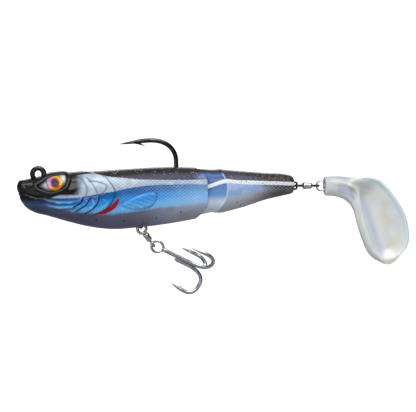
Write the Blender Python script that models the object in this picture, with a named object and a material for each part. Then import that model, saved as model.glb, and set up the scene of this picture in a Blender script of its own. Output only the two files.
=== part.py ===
"""A jointed soft swimbait, about 180 mm long: a head-and-body section on a jig hook, a hinged rear
section, a treble under the belly on a barrel swivel, and a soft paddle tail on a second swivel.

Blender 4.5, run with: blender --background --python part.py

The head points to -X and the back to +Z, so the left flank faces -Y. The origin is the centre of
the line-tie eye on the head. Shapes are worked out in millimetres and stored in metres.
"""

import math

import bmesh
import bpy
import numpy as np
from mathutils import Vector

MM = 0.001
GAP = 0.3  # clearance round a piece that sits in another

# Body outline: the back, the belly and half the width, each as (distance along X, value).
NOSE_X = -9.1
FRONT_END_X = 75.4
REAR_END_X = 116.4
BACK_LINE = [
    (-9.1, -4.6), (-8.2, -3.1), (-6.2, -2.5), (-0.7, -1.3), (4.8, 0.4), (8.0, 0.7), (21.3, 1.1),
    (40.6, 2.4), (59.9, 3.3), (75.0, 2.85), (93.0, 1.5), (104.0, 0.7), (114.0, -0.1), (116.4, -0.9),
]
BELLY_LINE = [
    (-9.1, -7.0), (-8.2, -10.2), (-6.5, -13.2), (-4.6, -15.2), (-2.1, -16.6), (4.8, -18.5),
    (14.5, -21.2), (23.2, -23.2), (32.4, -24.3), (44.8, -23.7), (56.7, -22.3), (66.8, -20.7), (75.4, -19.0),
    (84.0, -17.0), (93.0, -14.7), (104.0, -11.2), (112.0, -9.4), (116.4, -8.4),
]
HALF_WIDTH = [
    (-9.1, 1.7), (-8.2, 3.2), (-6.5, 4.3), (-3.0, 5.4), (4.8, 6.8), (14.5, 7.8), (28.0, 8.5), (45.0, 8.4),
    (60.0, 8.0), (75.4, 7.4), (90.0, 6.7), (104.0, 5.4), (112.0, 4.6), (116.4, 3.8),
]
ROUNDNESS = 2.25  # exponent of the oval cross-section; 2 is an ellipse
RING_POINTS = 28

# Body hinge: a vertical pin just behind the front section.
HINGE_X = 78.0
SOCKET_RADIUS = 6.8
KNUCKLE_RADIUS = 6.2
KNUCKLE_DROP = 0.5  # how far the knuckle's top lies under the back line
KNUCKLE_LIFT = 1.4  # how far the knuckle's bottom lies above the belly line
RIDGE_LINE = [(-17.0, 80.2), (-12.0, 83.4), (-6.0, 84.6), (2.0, 82.2)]  # height, X where the knuckle ends
EAR_RADIUS = 2.6
EAR_THICKNESS = 2.0
TOP_EAR_Z = -4.6
BOTTOM_EAR_Z = -13.4
PIN_RADIUS = 0.8
PIN_HEAD_RADIUS = 1.4
PLATE_HALF = 1.2  # half the thickness of both frame plates
EAR_HOLLOW = 4.8  # radius of the knuckle's hollow, which lets the ears' necks swing

# Main hook.
HOOK_WIRE = 0.9
HOOK_TIP = 0.12
EYE_RING = 2.6
SHANK_Z = -9.5
HOOK_RISE_X = 62.7
HOOK_TOP = (51.6, 15.0)
HOOK_POINT = (36.9, 13.3)

# Belly swivel and treble. Angles are below the horizontal, towards the tail.
BELLY_PIVOT = (46.6, 0.0, -23.6)
BELLY_ANGLE = 54.0
TREBLE_ANGLE = 25.5
HANGER_WIRE = 0.5
HANGER_HALF = 2.1
HANGER_TOP_Z = -15.0
BELLY_EYE_RING = 2.0
BELLY_EYE_WIRE = 0.45
BELLY_EYE_CENTRE = 0.75  # distances along the swivel, from the hanger's cross wire
BELLY_BARREL = (3.5, 7.0)
BELLY_BARREL_RADIUS = 1.15
LOWER_EYE_RING = 1.35
LOWER_EYE_WIRE = 0.35
LOWER_EYE_CENTRE = 9.0
TREBLE_WIRE = 0.58
TREBLE_TIP = 0.1
TREBLE_BUNDLE = 0.74  # distance of each of the treble's three wires from the shank's middle
TREBLE_EYE_RING = 2.6
TREBLE_EYE_CENTRE = 1.3
TREBLE_NECK = 4.9
THIRD_HOOK_START = 12.5

# Tail swivel, split ring and tail, all on one line.
TAIL_Z = -5.0
TAIL_HANGER_X = 118.2
TAIL_HANGER_WIRE = 0.35
TAIL_HANGER_HALF = 1.5
FRONT_EYE_RING = 1.35
FRONT_EYE_WIRE = 0.33
FRONT_EYE_X = 118.55
TAIL_BARREL = (121.0, 125.0)
TAIL_BARREL_RADIUS = 1.6
REAR_EYE_X = 126.85
RING_PIVOT_X = 128.2
SPLIT_RING_X = 129.5
SPLIT_RING_RADIUS = 2.25
SPLIT_RING_WIRE = 0.21
SPLIT_RING_PITCH = 0.56
SPLIT_RING_TURNS = 1.95
TAIL_PIVOT_X = SPLIT_RING_X + SPLIT_RING_RADIUS
ANCHOR_EYE_RING = 1.6
ANCHOR_EYE_WIRE = 0.4
ANCHOR_EYE_X = 132.15

# Tail paddle: matching points down its inner and outer edge, as (X, Z), from the stem to the tip.
INNER_EDGE = [
    (130.9, -7.9), (131.8, -9.1), (135.5, -9.5), (139.6, -10.9), (142.8, -13.2), (144.7, -16.5),
    (146.2, -22.0),
    (148.2, -28.0), (150.7, -34.0), (154.6, -38.8), (159.2, -39.9),
]
OUTER_EDGE = [
    (130.9, -2.1), (131.8, -1.1), (136.5, -0.9), (143.5, -1.1), (151.0, -0.9), (157.0, -2.6), (163.5, -9.4),
    (168.4, -17.5), (170.3, -26.5), (168.0, -33.8), (161.2, -39.8),
]
TIP_START = 0.86  # share of the way down the paddle where its thickness starts to round off
STEM_HALF_THICKNESS = 4.2
PADDLE_HALF_THICKNESS = 1.7
PADDLE_CUP = 1.6  # how far the paddle's middle bows towards +Y

# Fish eyes.
FISH_EYE = (5.3, 6.0, -4.0)  # middle of the right eye's seat; the left one mirrors it
FISH_EYE_AIM = (-0.2, 0.96, 0.18)
FISH_EYE_RADIUS = 3.9
FOIL_THICKNESS = 0.5
DOME_HEIGHT = 1.5

# Lead weight in the head.
WEIGHT_CENTRE = (11.0, 0.0, -11.5)
WEIGHT_SIZE = (11.0, 4.4, 5.0)

COLOURS = {  # name: (red, green, blue, roughness, metallic)
    "front_skin": (0.10, 0.20, 0.42, 0.25, 0.0),
    "rear_skin": (0.16, 0.26, 0.46, 0.25, 0.0),
    "tail_rubber": (0.86, 0.86, 0.90, 0.3, 0.0),
    "nylon": (0.55, 0.53, 0.48, 0.5, 0.0),
    "lead": (0.22, 0.22, 0.24, 0.6, 0.8),
    "black_nickel": (0.06, 0.055, 0.055, 0.2, 1.0),
    "bright_steel": (0.62, 0.62, 0.63, 0.2, 1.0),
    "swivel_steel": (0.45, 0.45, 0.46, 0.25, 1.0),
    "eye_foil": (0.75, 0.32, 0.06, 0.3, 0.5),
    "eye_dome": (0.92, 0.93, 0.95, 0.05, 0.0),
}


# --- small maths -----------------------------------------------------------------------------


def smooth_line(points, at):
    """The value at a place on a smooth curve through the points; flat past its ends."""
    places, values = np.array(points, float).T
    slopes = np.gradient(values, places)
    i = np.clip(np.searchsorted(places, at) - 1, 0, len(places) - 2)
    step = places[i + 1] - places[i]
    t = np.clip((at - places[i]) / step, 0.0, 1.0)
    start = (1 + 2 * t) * (1 - t) ** 2 * values[i] + t * (1 - t) ** 2 * step * slopes[i]
    end = t * t * (3 - 2 * t) * values[i + 1] - t * t * (1 - t) * step * slopes[i + 1]
    return start + end


def smooth_step(t):
    t = np.clip(t, 0.0, 1.0)
    return t * t * (3 - 2 * t)


def bezier(start, out, into, end, steps):
    """Points of a cubic Bezier curve, without its first point."""
    p = [np.array(point, float) for point in (start, out, into, end)]
    points = []
    for t in np.linspace(0, 1, steps + 1)[1:]:
        near_ends = (1 - t) ** 3 * p[0] + t**3 * p[3]
        points.append(near_ends + 3 * t * (1 - t) ** 2 * p[1] + 3 * t * t * (1 - t) * p[2])
    return points


def arc(centre, radius, first, last, steps):
    """Points of an arc in a plane, from one angle to another in degrees."""
    turns = np.radians(np.linspace(first, last, steps + 1))
    return [np.array((centre[0] + radius * math.cos(a), centre[1] + radius * math.sin(a))) for a in turns]


def upright(points):
    """Flat (x, z) points as points of the lure's middle plane."""
    return [np.array((x, 0.0, z)) for x, z in points]


# --- solids, as bmeshes in millimetres --------------------------------------------------------


def loft(rings, closed=False):
    """Joins rings of equally many points. It caps the first and the last, or joins them if closed."""
    bm = bmesh.new()
    rows = [[bm.verts.new(point) for point in ring] for ring in rings]
    pairs = list(zip(rows, rows[1:]))
    if closed:
        pairs.append((rows[-1], rows[0]))
    for row, after in pairs:
        for i in range(len(row)):
            j = (i + 1) % len(row)
            bm.faces.new((row[i], row[j], after[j], after[i]))
    if not closed:
        bm.faces.new(rows[0])
        bm.faces.new(rows[-1])
    bmesh.ops.recalc_face_normals(bm, faces=bm.faces)
    return bm


def tube(path, radii, sides=10, closed=False):
    """A round wire along a path. Its frame is carried along the path, so that it never twists."""
    path = [Vector(point) for point in path]
    count = len(path)
    radii = [radii] * count if isinstance(radii, float) else radii
    normal = None
    rings = []
    for i, point in enumerate(path):
        before = path[i - 1] if closed or i else path[0]
        after = path[(i + 1) % count] if closed or i < count - 1 else path[-1]
        along = (after - before).normalized()
        if normal is None:
            normal = along.orthogonal()
        normal = (normal - along * normal.dot(along)).normalized()
        side = along.cross(normal)
        turns = [2 * math.pi * k / sides for k in range(sides)]
        rings.append([point + (normal * math.cos(a) + side * math.sin(a)) * radii[i] for a in turns])
    return loft(rings, closed)


def ring(centre, radius, wire, normal, steps=24, sides=8):
    """A closed wire ring whose hole faces along the normal."""
    normal = Vector(normal).normalized()
    first = normal.orthogonal().normalized()
    second = normal.cross(first)
    turns = [2 * math.pi * k / steps for k in range(steps)]
    path = [Vector(centre) + (first * math.cos(a) + second * math.sin(a)) * radius for a in turns]
    return tube(path, wire, sides, closed=True)


def lathe(profile, origin, axis, steps=16, closed=False):
    """A turned solid: the profile's (distance along the axis, radius) points, turned about the axis."""
    axis = Vector(axis).normalized()
    first = axis.orthogonal().normalized()
    second = axis.cross(first)
    rings = []
    for along, radius in profile:
        turns = [2 * math.pi * k / steps for k in range(steps)]
        centre = Vector(origin) + axis * along
        rings.append([centre + (first * math.cos(a) + second * math.sin(a)) * radius for a in turns])
    return loft(rings, closed)


def prism(outline, low, high, axis="Y"):
    """A flat outline pulled from low to high: (x, z) points along Y, or (x, y) points along Z."""
    if axis == "Y":
        return loft([[(x, y, z) for x, z in outline] for y in (low, high)])
    return loft([[(x, y, z) for x, y in outline] for z in (low, high)])


def cuboid(low, high):
    outline = [(low[0], low[1]), (high[0], low[1]), (high[0], high[1]), (low[0], high[1])]
    return prism(outline, low[2], high[2], "Z")


# --- objects ----------------------------------------------------------------------------------


def clear_scene():
    for obj in list(bpy.data.objects):
        bpy.data.objects.remove(obj, do_unlink=True)


def material(name):
    found = bpy.data.materials.get(name)
    if found:
        return found
    red, green, blue, roughness, metallic = COLOURS[name]
    made = bpy.data.materials.new(name)
    made.use_nodes = True
    made.diffuse_color = (red, green, blue, 1.0)
    shader = made.node_tree.nodes["Principled BSDF"]
    shader.inputs["Base Color"].default_value = (red, green, blue, 1.0)
    shader.inputs["Roughness"].default_value = roughness
    shader.inputs["Metallic"].default_value = metallic
    return made


def body_empty(name, place, parent=None):
    """An empty on a joint's axis. Everything that the joint moves hangs under it."""
    empty = bpy.data.objects.new(name, None)
    bpy.context.scene.collection.objects.link(empty)
    empty["place"] = place
    empty.parent = parent
    start = parent["place"] if parent else (0.0, 0.0, 0.0)
    empty.location = [(a - b) * MM for a, b in zip(place, start)]
    return empty


def place_mesh(name, bm, start):
    mesh = bpy.data.meshes.new(name)
    bmesh.ops.translate(bm, verts=bm.verts, vec=-Vector(start))
    bmesh.ops.scale(bm, verts=bm.verts, vec=(MM, MM, MM))
    bm.to_mesh(mesh)
    bm.free()
    obj = bpy.data.objects.new(name, mesh)
    bpy.context.scene.collection.objects.link(obj)
    return obj


def piece(name, bm, material_name, body, smooth_angle=40.0):
    """A sub-part of the given body, with its origin on that body's joint."""
    obj = place_mesh(name, bm, body["place"])
    obj.parent = body
    obj.data.materials.append(material(material_name))
    obj.data.shade_smooth()
    obj.data.set_sharp_from_angle(angle=math.radians(smooth_angle))
    return obj


def combine(obj, name, bm, operation):
    """Cuts the shape from the object (DIFFERENCE) or adds it (UNION)."""
    helper = place_mesh(name, bm, (0.0, 0.0, 0.0))
    helper.hide_render = True
    helper.display_type = "WIRE"
    change = obj.modifiers.new(name, "BOOLEAN")
    change.operation = operation
    change.solver = "EXACT"
    change.object = helper


def cut(obj, name, bm):
    combine(obj, "cut_" + name, bm, "DIFFERENCE")


def add(obj, name, bm):
    combine(obj, "add_" + name, bm, "UNION")


# --- the body's soft skins --------------------------------------------------------------------


def oval(x, top, bottom, half_width):
    """One cross-section of the body."""
    points = []
    for k in range(RING_POINTS):
        angle = 2 * math.pi * (k + 0.5) / RING_POINTS
        across, up = math.sin(angle), math.cos(angle)
        y = math.copysign(abs(across) ** (2 / ROUNDNESS), across) * half_width
        z = math.copysign(abs(up) ** (2 / ROUNDNESS), up) * (top - bottom) / 2 + (top + bottom) / 2
        points.append((x, y, z))
    return points


def body_ring(x):
    return oval(x, smooth_line(BACK_LINE, x), smooth_line(BELLY_LINE, x), smooth_line(HALF_WIDTH, x))


def knuckle_share(x, z):
    """How wide the rear section is in front of its ridge, as a share of its full width."""
    full = smooth_line(HALF_WIDTH, HINGE_X)
    if x <= HINGE_X:
        return math.sqrt(max(0.0, KNUCKLE_RADIUS**2 - (x - HINGE_X) ** 2)) / full
    ridge = smooth_line(RIDGE_LINE, z)
    start = KNUCKLE_RADIUS / full
    return start + (1 - start) * smooth_step((x - HINGE_X) / (ridge - HINGE_X))


def rear_ring(x):
    beyond = smooth_step((x - HINGE_X) / 6.0)
    top = smooth_line(BACK_LINE, x) - KNUCKLE_DROP * (1 - beyond)
    bottom = smooth_line(BELLY_LINE, x) + KNUCKLE_LIFT * (1 - beyond)
    points = oval(x, top, bottom, smooth_line(HALF_WIDTH, x))
    return [(x, y * knuckle_share(x, z), z) for x, y, z in points]


def sector(radius, half_angle, low, high):
    """An upright wedge round the hinge's axis, open towards the head."""
    outline = [(HINGE_X + 0.5, 0.0)]
    for angle in np.radians(np.linspace(180 - half_angle, 180 + half_angle, 9)):
        outline.append((HINGE_X + radius * math.cos(angle), radius * math.sin(angle)))
    return prism(outline, low, high, "Z")


def front_skin(body):
    nose = [NOSE_X + 11.0 * (1 - math.cos(t)) for t in np.linspace(0, math.pi / 2, 8)]
    trunk = np.linspace(nose[-1], FRONT_END_X, 18)[1:]
    skin = piece("front_skin", loft([body_ring(x) for x in [*nose, *trunk]]), "front_skin", body)
    cut(skin, "socket", lathe([(-30, SOCKET_RADIUS), (15, SOCKET_RADIUS)], (HINGE_X, 0, 0), (0, 0, 1), 40))
    cut(skin, "line_tie_slot", prism(arc((0, 0), EYE_RING + HOOK_WIRE + GAP, 0, 345, 23), -1.2, 1.2))
    cut(skin, "hook_channel", tube(hook_shank(), HOOK_WIRE + GAP))
    cut(skin, "weight_pocket", weight_shape(GAP))
    cut(skin, "frame_pocket", prism(front_plate_outline(GAP), -PLATE_HALF - GAP, PLATE_HALF + GAP))
    low, high = BOTTOM_EAR_Z - GAP, TOP_EAR_Z + EAR_THICKNESS + GAP
    cut(skin, "ear_pocket", cuboid((69.5, -2.0, low), (73.0, 2.0, high)))
    cut(skin, "hanger_pocket", cuboid((45.7, -3.0, -26.0), (47.5, 3.0, -14.1)))
    cut(skin, "belly_slot", belly_slot())
    for side, name in ((-1, "left"), (1, "right")):
        cut(skin, name + "_eye_seat", eye_turning([(-0.6, 4.2), (6.0, 4.2)], side))


def belly_slot():
    x = BELLY_PIVOT[0]
    return cuboid((x - 3.4, -1.5, -26.0), (x + 4.4, 1.5, -20.4))


def rear_skin(body):
    front = [HINGE_X - KNUCKLE_RADIUS * math.cos(t) * 0.995 for t in np.linspace(0, math.pi / 2, 6)]
    taper = np.linspace(HINGE_X, 86.0, 7)[1:]
    trunk = np.linspace(86.0, 112.0, 8)[1:]
    end = np.linspace(112.0, REAR_END_X, 4)[1:]
    skin = piece("rear_skin", loft([rear_ring(x) for x in [*front, *taper, *trunk, *end]]), "rear_skin", body)
    low, high = BOTTOM_EAR_Z - 0.5, TOP_EAR_Z + EAR_THICKNESS + 0.5
    cut(skin, "ear_slot", sector(8.0, 52.0, low, high))
    hollow = [(low + 0.2, EAR_HOLLOW), (high - 0.2, EAR_HOLLOW)]
    cut(skin, "ear_hollow", lathe(hollow, (HINGE_X, 0, 0), (0, 0, 1), 26))
    cut(skin, "hinge_pocket", lathe([(-15.2, 3.2), (-0.9, 3.2)], (HINGE_X, 0, 0), (0, 0, 1), 24))
    cut(skin, "frame_pocket", prism(rear_plate_outline(GAP), -PLATE_HALF - GAP, PLATE_HALF + GAP))
    cut(skin, "hanger_channel", cuboid((104.0, -0.8, -7.3), (130.0, 0.8, -2.7)))


# --- inside the front section -----------------------------------------------------------------


def hook_shank():
    """The hook's path from the line-tie ring to where its wire leaves the back."""
    leave = arc((0, 0), EYE_RING, 210, 210, 1)[0]
    path = [leave, *bezier(leave, (0.75, -6.5), (1.6, SHANK_Z), (6.0, SHANK_Z), 8)]
    path += [np.array((x, SHANK_Z)) for x in (18.0, 37.0, 56.5)]
    path += bezier((56.5, SHANK_Z), (60.5, SHANK_Z), (HOOK_RISE_X, -6.5), (HOOK_RISE_X, -2.5), 6)
    path.append(np.array((HOOK_RISE_X, 5.5)))
    return upright(path)


def main_hook(body):
    ring_path = upright(arc((0, 0), EYE_RING, -70, 210, 22))
    bend = bezier((HOOK_RISE_X, 5.5), (HOOK_RISE_X, 11.4), (58.2, HOOK_TOP[1]), HOOK_TOP, 10)
    bend += bezier(HOOK_TOP, (46.5, 15.0), (41.0, 13.7), HOOK_POINT, 8)
    path = ring_path[:-1] + hook_shank() + upright(bend)
    radii = [HOOK_WIRE] * len(path)
    for i, point in enumerate(path):
        if point[2] > 12 and point[0] < 47:
            share = (point[0] - HOOK_POINT[0]) / (47 - HOOK_POINT[0])
            radii[i] = HOOK_TIP + (HOOK_WIRE - HOOK_TIP) * share**0.8
    hook = piece("main_hook", tube(path, radii, 12), "black_nickel", body)
    add(hook, "main_barb", tube([(44.4, 0, 14.0), (48.6, 0, 12.6)], [0.5, 0.06], 6))


def weight_shape(gap):
    """A smooth lead slug, blunt at both ends."""
    rings = []
    for t in np.linspace(0.12, math.pi - 0.12, 12):
        size = math.sin(t) ** 0.7
        x = WEIGHT_CENTRE[0] - math.cos(t) * (WEIGHT_SIZE[0] + gap)
        circle = np.linspace(0, 2 * math.pi, 16, endpoint=False)
        across, up = (WEIGHT_SIZE[1] + gap) * size, (WEIGHT_SIZE[2] + gap) * size
        rings.append([(x, across * math.cos(a), WEIGHT_CENTRE[2] + up * math.sin(a)) for a in circle])
    return loft(rings)


def head_weight(body):
    weight = piece("head_weight", weight_shape(0.0), "lead", body)
    cut(weight, "weight_hook_hole", tube(hook_shank(), HOOK_WIRE + GAP))


def front_plate_outline(gap):
    """The front frame's plate, low under the hook's shank and tall behind the hook's rise."""
    return [
        (28.0 - gap, -19.0 - gap), (52.0, -19.0 - gap), (64.0 + gap, -17.0 - gap), (72.2, -14.0 - gap),
        (72.2, -2.2 + gap), (66.0 - gap, -2.2 + gap), (66.0 - gap, -6.5 + gap), (61.0, -12.0 + gap),
        (28.0 - gap, -12.0 + gap),
    ]


def ear(z):
    """A flat hinge ear with a round end, reaching back from the front frame."""
    outline = [(70.0, -1.7), *arc((HINGE_X, 0), EAR_RADIUS, -130, 130, 14), (70.0, 1.7)]
    return prism(outline, z, z + EAR_THICKNESS, "Z")


def front_frame(body):
    plate = [(min(x, 71.0), z) for x, z in front_plate_outline(0.0)]
    frame = piece("front_frame", prism(plate, -PLATE_HALF, PLATE_HALF), "nylon", body, 30.0)
    for name, z in (("top_ear", TOP_EAR_Z), ("bottom_ear", BOTTOM_EAR_Z)):
        add(frame, name, ear(z))
    hole = PIN_RADIUS + GAP
    cut(frame, "pin_holes", lathe([(-20, hole), (5, hole)], (HINGE_X, 0, 0), (0, 0, 1)))
    hole = HANGER_WIRE + GAP
    cut(frame, "hanger_hole", lathe([(-4, hole), (4, hole)], (BELLY_PIVOT[0], 0, HANGER_TOP_Z), (0, 1, 0)))


def belly_hanger(body):
    """A closed wire staple through the frame. Its lower cross wire carries the belly swivel."""
    corner = 0.9
    half, low, high = HANGER_HALF - corner, BELLY_PIVOT[2] + corner, HANGER_TOP_Z - corner
    loop = []
    for centre, first in (((half, high), 0), ((-half, high), 90), ((-half, low), 180), ((half, low), 270)):
        loop += arc(centre, corner, first, first + 90, 4)
    path = [(BELLY_PIVOT[0], y, z) for y, z in loop]
    piece("belly_hanger", tube(path, HANGER_WIRE, 10, closed=True), "black_nickel", body)


def hinge_pin(body):
    head, wide, thin = 0.7, PIN_HEAD_RADIUS, PIN_RADIUS
    low, high = BOTTOM_EAR_Z - 1.1, TOP_EAR_Z + EAR_THICKNESS + 1.1
    profile = [(low, wide - 0.3), (low + 0.2, wide), (low + head, wide), (low + head, thin)]
    profile += [(high - head, thin), (high - head, wide), (high - 0.2, wide), (high, wide - 0.3)]
    piece("hinge_pin", lathe(profile, (HINGE_X, 0, 0), (0, 0, 1)), "bright_steel", body, 30.0)


def eye_turning(profile, side):
    """A shape turned about a fish eye's own axis. The side is -1 for the left eye and 1 for the right."""
    centre = (FISH_EYE[0], FISH_EYE[1] * side, FISH_EYE[2])
    return lathe(profile, centre, (FISH_EYE_AIM[0], FISH_EYE_AIM[1] * side, FISH_EYE_AIM[2]), 24)


def fish_eyes(body):
    for side, name in ((-1, "left_eye"), (1, "right_eye")):
        low = -0.3
        foil = [(low, FISH_EYE_RADIUS), (low + FOIL_THICKNESS, FISH_EYE_RADIUS)]
        piece(name + "_foil", eye_turning(foil, side), "eye_foil", body)
        base = low + FOIL_THICKNESS + 0.05
        dome = [(base, FISH_EYE_RADIUS)]
        for angle in np.linspace(0.1, 0.93, 6) * math.pi / 2:
            dome.append((base + DOME_HEIGHT * math.sin(angle), FISH_EYE_RADIUS * math.cos(angle)))
        piece(name + "_dome", eye_turning(dome, side), "eye_dome", body)


# --- inside the rear section ------------------------------------------------------------------


def rear_plate_outline(gap):
    low, high = BOTTOM_EAR_Z + EAR_THICKNESS + GAP, TOP_EAR_Z - GAP
    return [
        (79.5, low - gap), (92.0, low - gap), (112.0 + gap, -7.6 - gap), (112.0 + gap, -2.4 + gap),
        (92.0, -2.6 + gap), (84.0, high + gap), (79.5, high + gap),
    ]


def rear_frame(body):
    frame = piece("rear_frame", prism(rear_plate_outline(0.0), -PLATE_HALF, PLATE_HALF), "nylon", body, 30.0)
    low, high = BOTTOM_EAR_Z + EAR_THICKNESS + GAP, TOP_EAR_Z - GAP
    outline = arc((HINGE_X, 0), EAR_RADIUS, 0, 345, 23)
    add(frame, "tongue", prism(outline, low, high, "Z"))
    hole = PIN_RADIUS + GAP
    cut(frame, "tongue_hole", lathe([(-20, hole), (5, hole)], (HINGE_X, 0, 0), (0, 0, 1)))
    cut(frame, "tail_hanger_seat", cuboid((105.2, -0.65, -7.2), (113.0, 0.65, -2.8)))


def tail_hanger(body):
    """A wire staple out of the rear end; its upright cross wire carries the tail swivel."""
    corner = 0.7
    legs = TAIL_HANGER_HALF
    path = [(106.0, TAIL_Z + legs), (112.0, TAIL_Z + legs)]
    path += arc((TAIL_HANGER_X - corner, TAIL_Z + legs - corner), corner, 90, 0, 5)
    path += arc((TAIL_HANGER_X - corner, TAIL_Z - legs + corner), corner, 0, -90, 5)
    path += [(112.0, TAIL_Z - legs), (106.0, TAIL_Z - legs)]
    piece("tail_hanger", tube(upright(path), TAIL_HANGER_WIRE, 8), "black_nickel", body)


# --- swivels ----------------------------------------------------------------------------------


def swivel_eye(name, body, centre, axis, ring_size, wire, stem_from, stem_to, head, normal):
    """A wire ring with a stem along the swivel's axis, held in the barrel by its head."""
    eye = piece(name, ring(centre, ring_size, wire, normal), "swivel_steel", body)
    turn = 1 if stem_to > stem_from else -1
    profile = [(stem_from, 0.3), (stem_to - 0.5 * turn, 0.3), (stem_to - 0.5 * turn, head), (stem_to, head)]
    add(eye, name + "_stem", lathe(profile, centre, axis, 12))


def barrel(name, body, origin, axis, span, wide, narrow, bore):
    """A hollow barrel with a small hole at each end."""
    start, end = span
    wall = 0.35
    profile = [
        (start, bore), (start, wide * 0.72), (start + 0.5, wide), (start + 1.4, wide), (end - 1.2, narrow),
        (end - 0.4, narrow), (end, narrow * 0.72), (end, bore), (end - wall, bore),
        (end - wall, narrow - wall),
        (start + wall, narrow - wall), (start + wall, bore),
    ]
    piece(name, lathe(profile, origin, axis, 16, closed=True), "swivel_steel", body, 30.0)


def below(angle):
    return Vector((math.cos(math.radians(angle)), 0.0, -math.sin(math.radians(angle))))


def belly_swivel(upper_body, barrel_body, lower_body):
    along = below(BELLY_ANGLE)
    pivot = Vector(BELLY_PIVOT)
    start, end = BELLY_BARREL
    centre = pivot + along * BELLY_EYE_CENTRE
    swivel_eye("belly_swivel_upper_eye", upper_body, centre, along, BELLY_EYE_RING, BELLY_EYE_WIRE,
               BELLY_EYE_RING, start + 1.3 - BELLY_EYE_CENTRE, 0.6, (0, 1, 0))
    barrel("belly_swivel_barrel", barrel_body, pivot, along, BELLY_BARREL, BELLY_BARREL_RADIUS, 1.1, 0.5)
    centre = pivot + along * LOWER_EYE_CENTRE
    swivel_eye("belly_swivel_lower_eye", lower_body, centre, along, LOWER_EYE_RING, LOWER_EYE_WIRE,
               -LOWER_EYE_RING, end - 1.3 - LOWER_EYE_CENTRE, 0.6, below(BELLY_ANGLE - 90))


def tail_swivel(front_body, barrel_body, rear_body):
    along = (1.0, 0.0, 0.0)
    start, end = TAIL_BARREL
    centre = (FRONT_EYE_X, 0, TAIL_Z)
    swivel_eye("tail_swivel_front_eye", front_body, centre, along, FRONT_EYE_RING, FRONT_EYE_WIRE,
               FRONT_EYE_RING, start + 1.4 - FRONT_EYE_X, 0.7, (0, 0, 1))
    middle = (0, 0, TAIL_Z)
    barrel("tail_swivel_barrel", barrel_body, middle, along, TAIL_BARREL, TAIL_BARREL_RADIUS, 1.35, 0.55)
    centre = (REAR_EYE_X, 0, TAIL_Z)
    swivel_eye("tail_swivel_rear_eye", rear_body, centre, along, FRONT_EYE_RING, FRONT_EYE_WIRE,
               -FRONT_EYE_RING, end - 1.4 - REAR_EYE_X, 0.7, (0, 0, 1))


# --- treble -----------------------------------------------------------------------------------


def treble_pivot():
    return Vector(BELLY_PIVOT) + below(BELLY_ANGLE) * (LOWER_EYE_CENTRE + LOWER_EYE_RING)


def on_treble(along, out, turn):
    """A point beside the treble's shank: the turn is about the shank, and 0 is straight down."""
    turn = math.radians(turn)
    down, side = below(TREBLE_ANGLE + 90), Vector((0.0, 1.0, 0.0))
    outward = down * math.cos(turn) + side * math.sin(turn)
    return treble_pivot() + below(TREBLE_ANGLE) * along + outward * out


def prong_profile():
    """One hook of the treble, from the shank to its point, as (along the shank, out from it)."""
    profile = [np.array((16.0, TREBLE_BUNDLE)), np.array((17.6, TREBLE_BUNDLE))]
    profile += bezier((17.6, TREBLE_BUNDLE), (22.8, 1.0), (26.0, 2.6), (26.0, 6.4), 7)
    profile += bezier((26.0, 6.4), (26.0, 10.0), (24.0, 12.2), (20.8, 12.1), 6)
    profile += bezier((20.8, 12.1), (18.0, 12.0), (16.0, 11.7), (13.4, 11.3), 6)
    return profile


def prong_radii(profile):
    """Full wire round the bend, and a taper over the last stretch to the point."""
    radii = []
    for along, out in profile:
        share = 1.0 if out < 11 or along > 19.0 else (along - 13.4) / (19.0 - 13.4)
        radii.append(TREBLE_TIP + (TREBLE_WIRE - TREBLE_TIP) * share)
    return radii


def treble_barb(turn):
    return tube([on_treble(17.0, 11.6, turn), on_treble(19.2, 10.9, turn)], [0.35, 0.05], 6)


def treble_eye():
    """The double hook's eye: a pear loop that steps from one leg's side of the shank to the other's."""
    top, bottom = (TREBLE_EYE_CENTRE, TREBLE_EYE_RING), (TREBLE_EYE_CENTRE, -TREBLE_EYE_RING)
    loop = bezier((TREBLE_NECK, 0), (3.9, 0.1), (3.5, TREBLE_EYE_RING), top, 6)
    loop += arc((TREBLE_EYE_CENTRE, 0), TREBLE_EYE_RING, 90, 270, 14)[1:]
    loop += bezier(bottom, (3.5, -TREBLE_EYE_RING), (3.9, -0.1), (TREBLE_NECK, 0), 6)
    leg = on_treble(0, TREBLE_BUNDLE, 120) - treble_pivot()
    middle = Vector((leg.x, 0.0, leg.z))
    points = []
    for i, (along, out) in enumerate(loop[:-1]):
        side = leg.y * (1 - 2 * (i + 1) / len(loop))
        points.append(on_treble(along, out, 0) + middle + Vector((0.0, side, 0.0)))
    return points


def treble(body):
    profile = prong_profile()
    radii = prong_radii(profile)
    first = [on_treble(along, out, 120) for along, out in profile]
    second = [on_treble(along, out, -120) for along, out in profile]
    start, end = on_treble(TREBLE_NECK, TREBLE_BUNDLE, 120), on_treble(TREBLE_NECK, TREBLE_BUNDLE, -120)
    eye = treble_eye()
    path = [*reversed(first), start, *eye, end, *second]
    wires = [*reversed(radii), *([TREBLE_WIRE] * (len(eye) + 2)), *radii]
    double = piece("treble_double_hook", tube(path, wires, 8), "bright_steel", body)
    add(double, "first_barb", treble_barb(120))
    add(double, "second_barb", treble_barb(-120))
    third = [on_treble(THIRD_HOOK_START, TREBLE_BUNDLE, 0)]
    third += [on_treble(along, out, 0) for along, out in profile]
    hook = piece("treble_third_hook", tube(third, [TREBLE_WIRE, *radii], 8), "bright_steel", body)
    add(hook, "third_barb", treble_barb(0))


# --- tail -------------------------------------------------------------------------------------


def split_ring(body):
    """Two turns of wire lying side by side."""
    steps = 44
    path = []
    for i in range(steps + 1):
        turns = SPLIT_RING_TURNS * (i / steps - 0.5)
        angle = 2 * math.pi * turns
        y = SPLIT_RING_PITCH * turns
        x = SPLIT_RING_X + SPLIT_RING_RADIUS * math.cos(angle)
        path.append((x, y, TAIL_Z + SPLIT_RING_RADIUS * math.sin(angle)))
    piece("tail_split_ring", tube(path, SPLIT_RING_WIRE, 6), "bright_steel", body)


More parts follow.
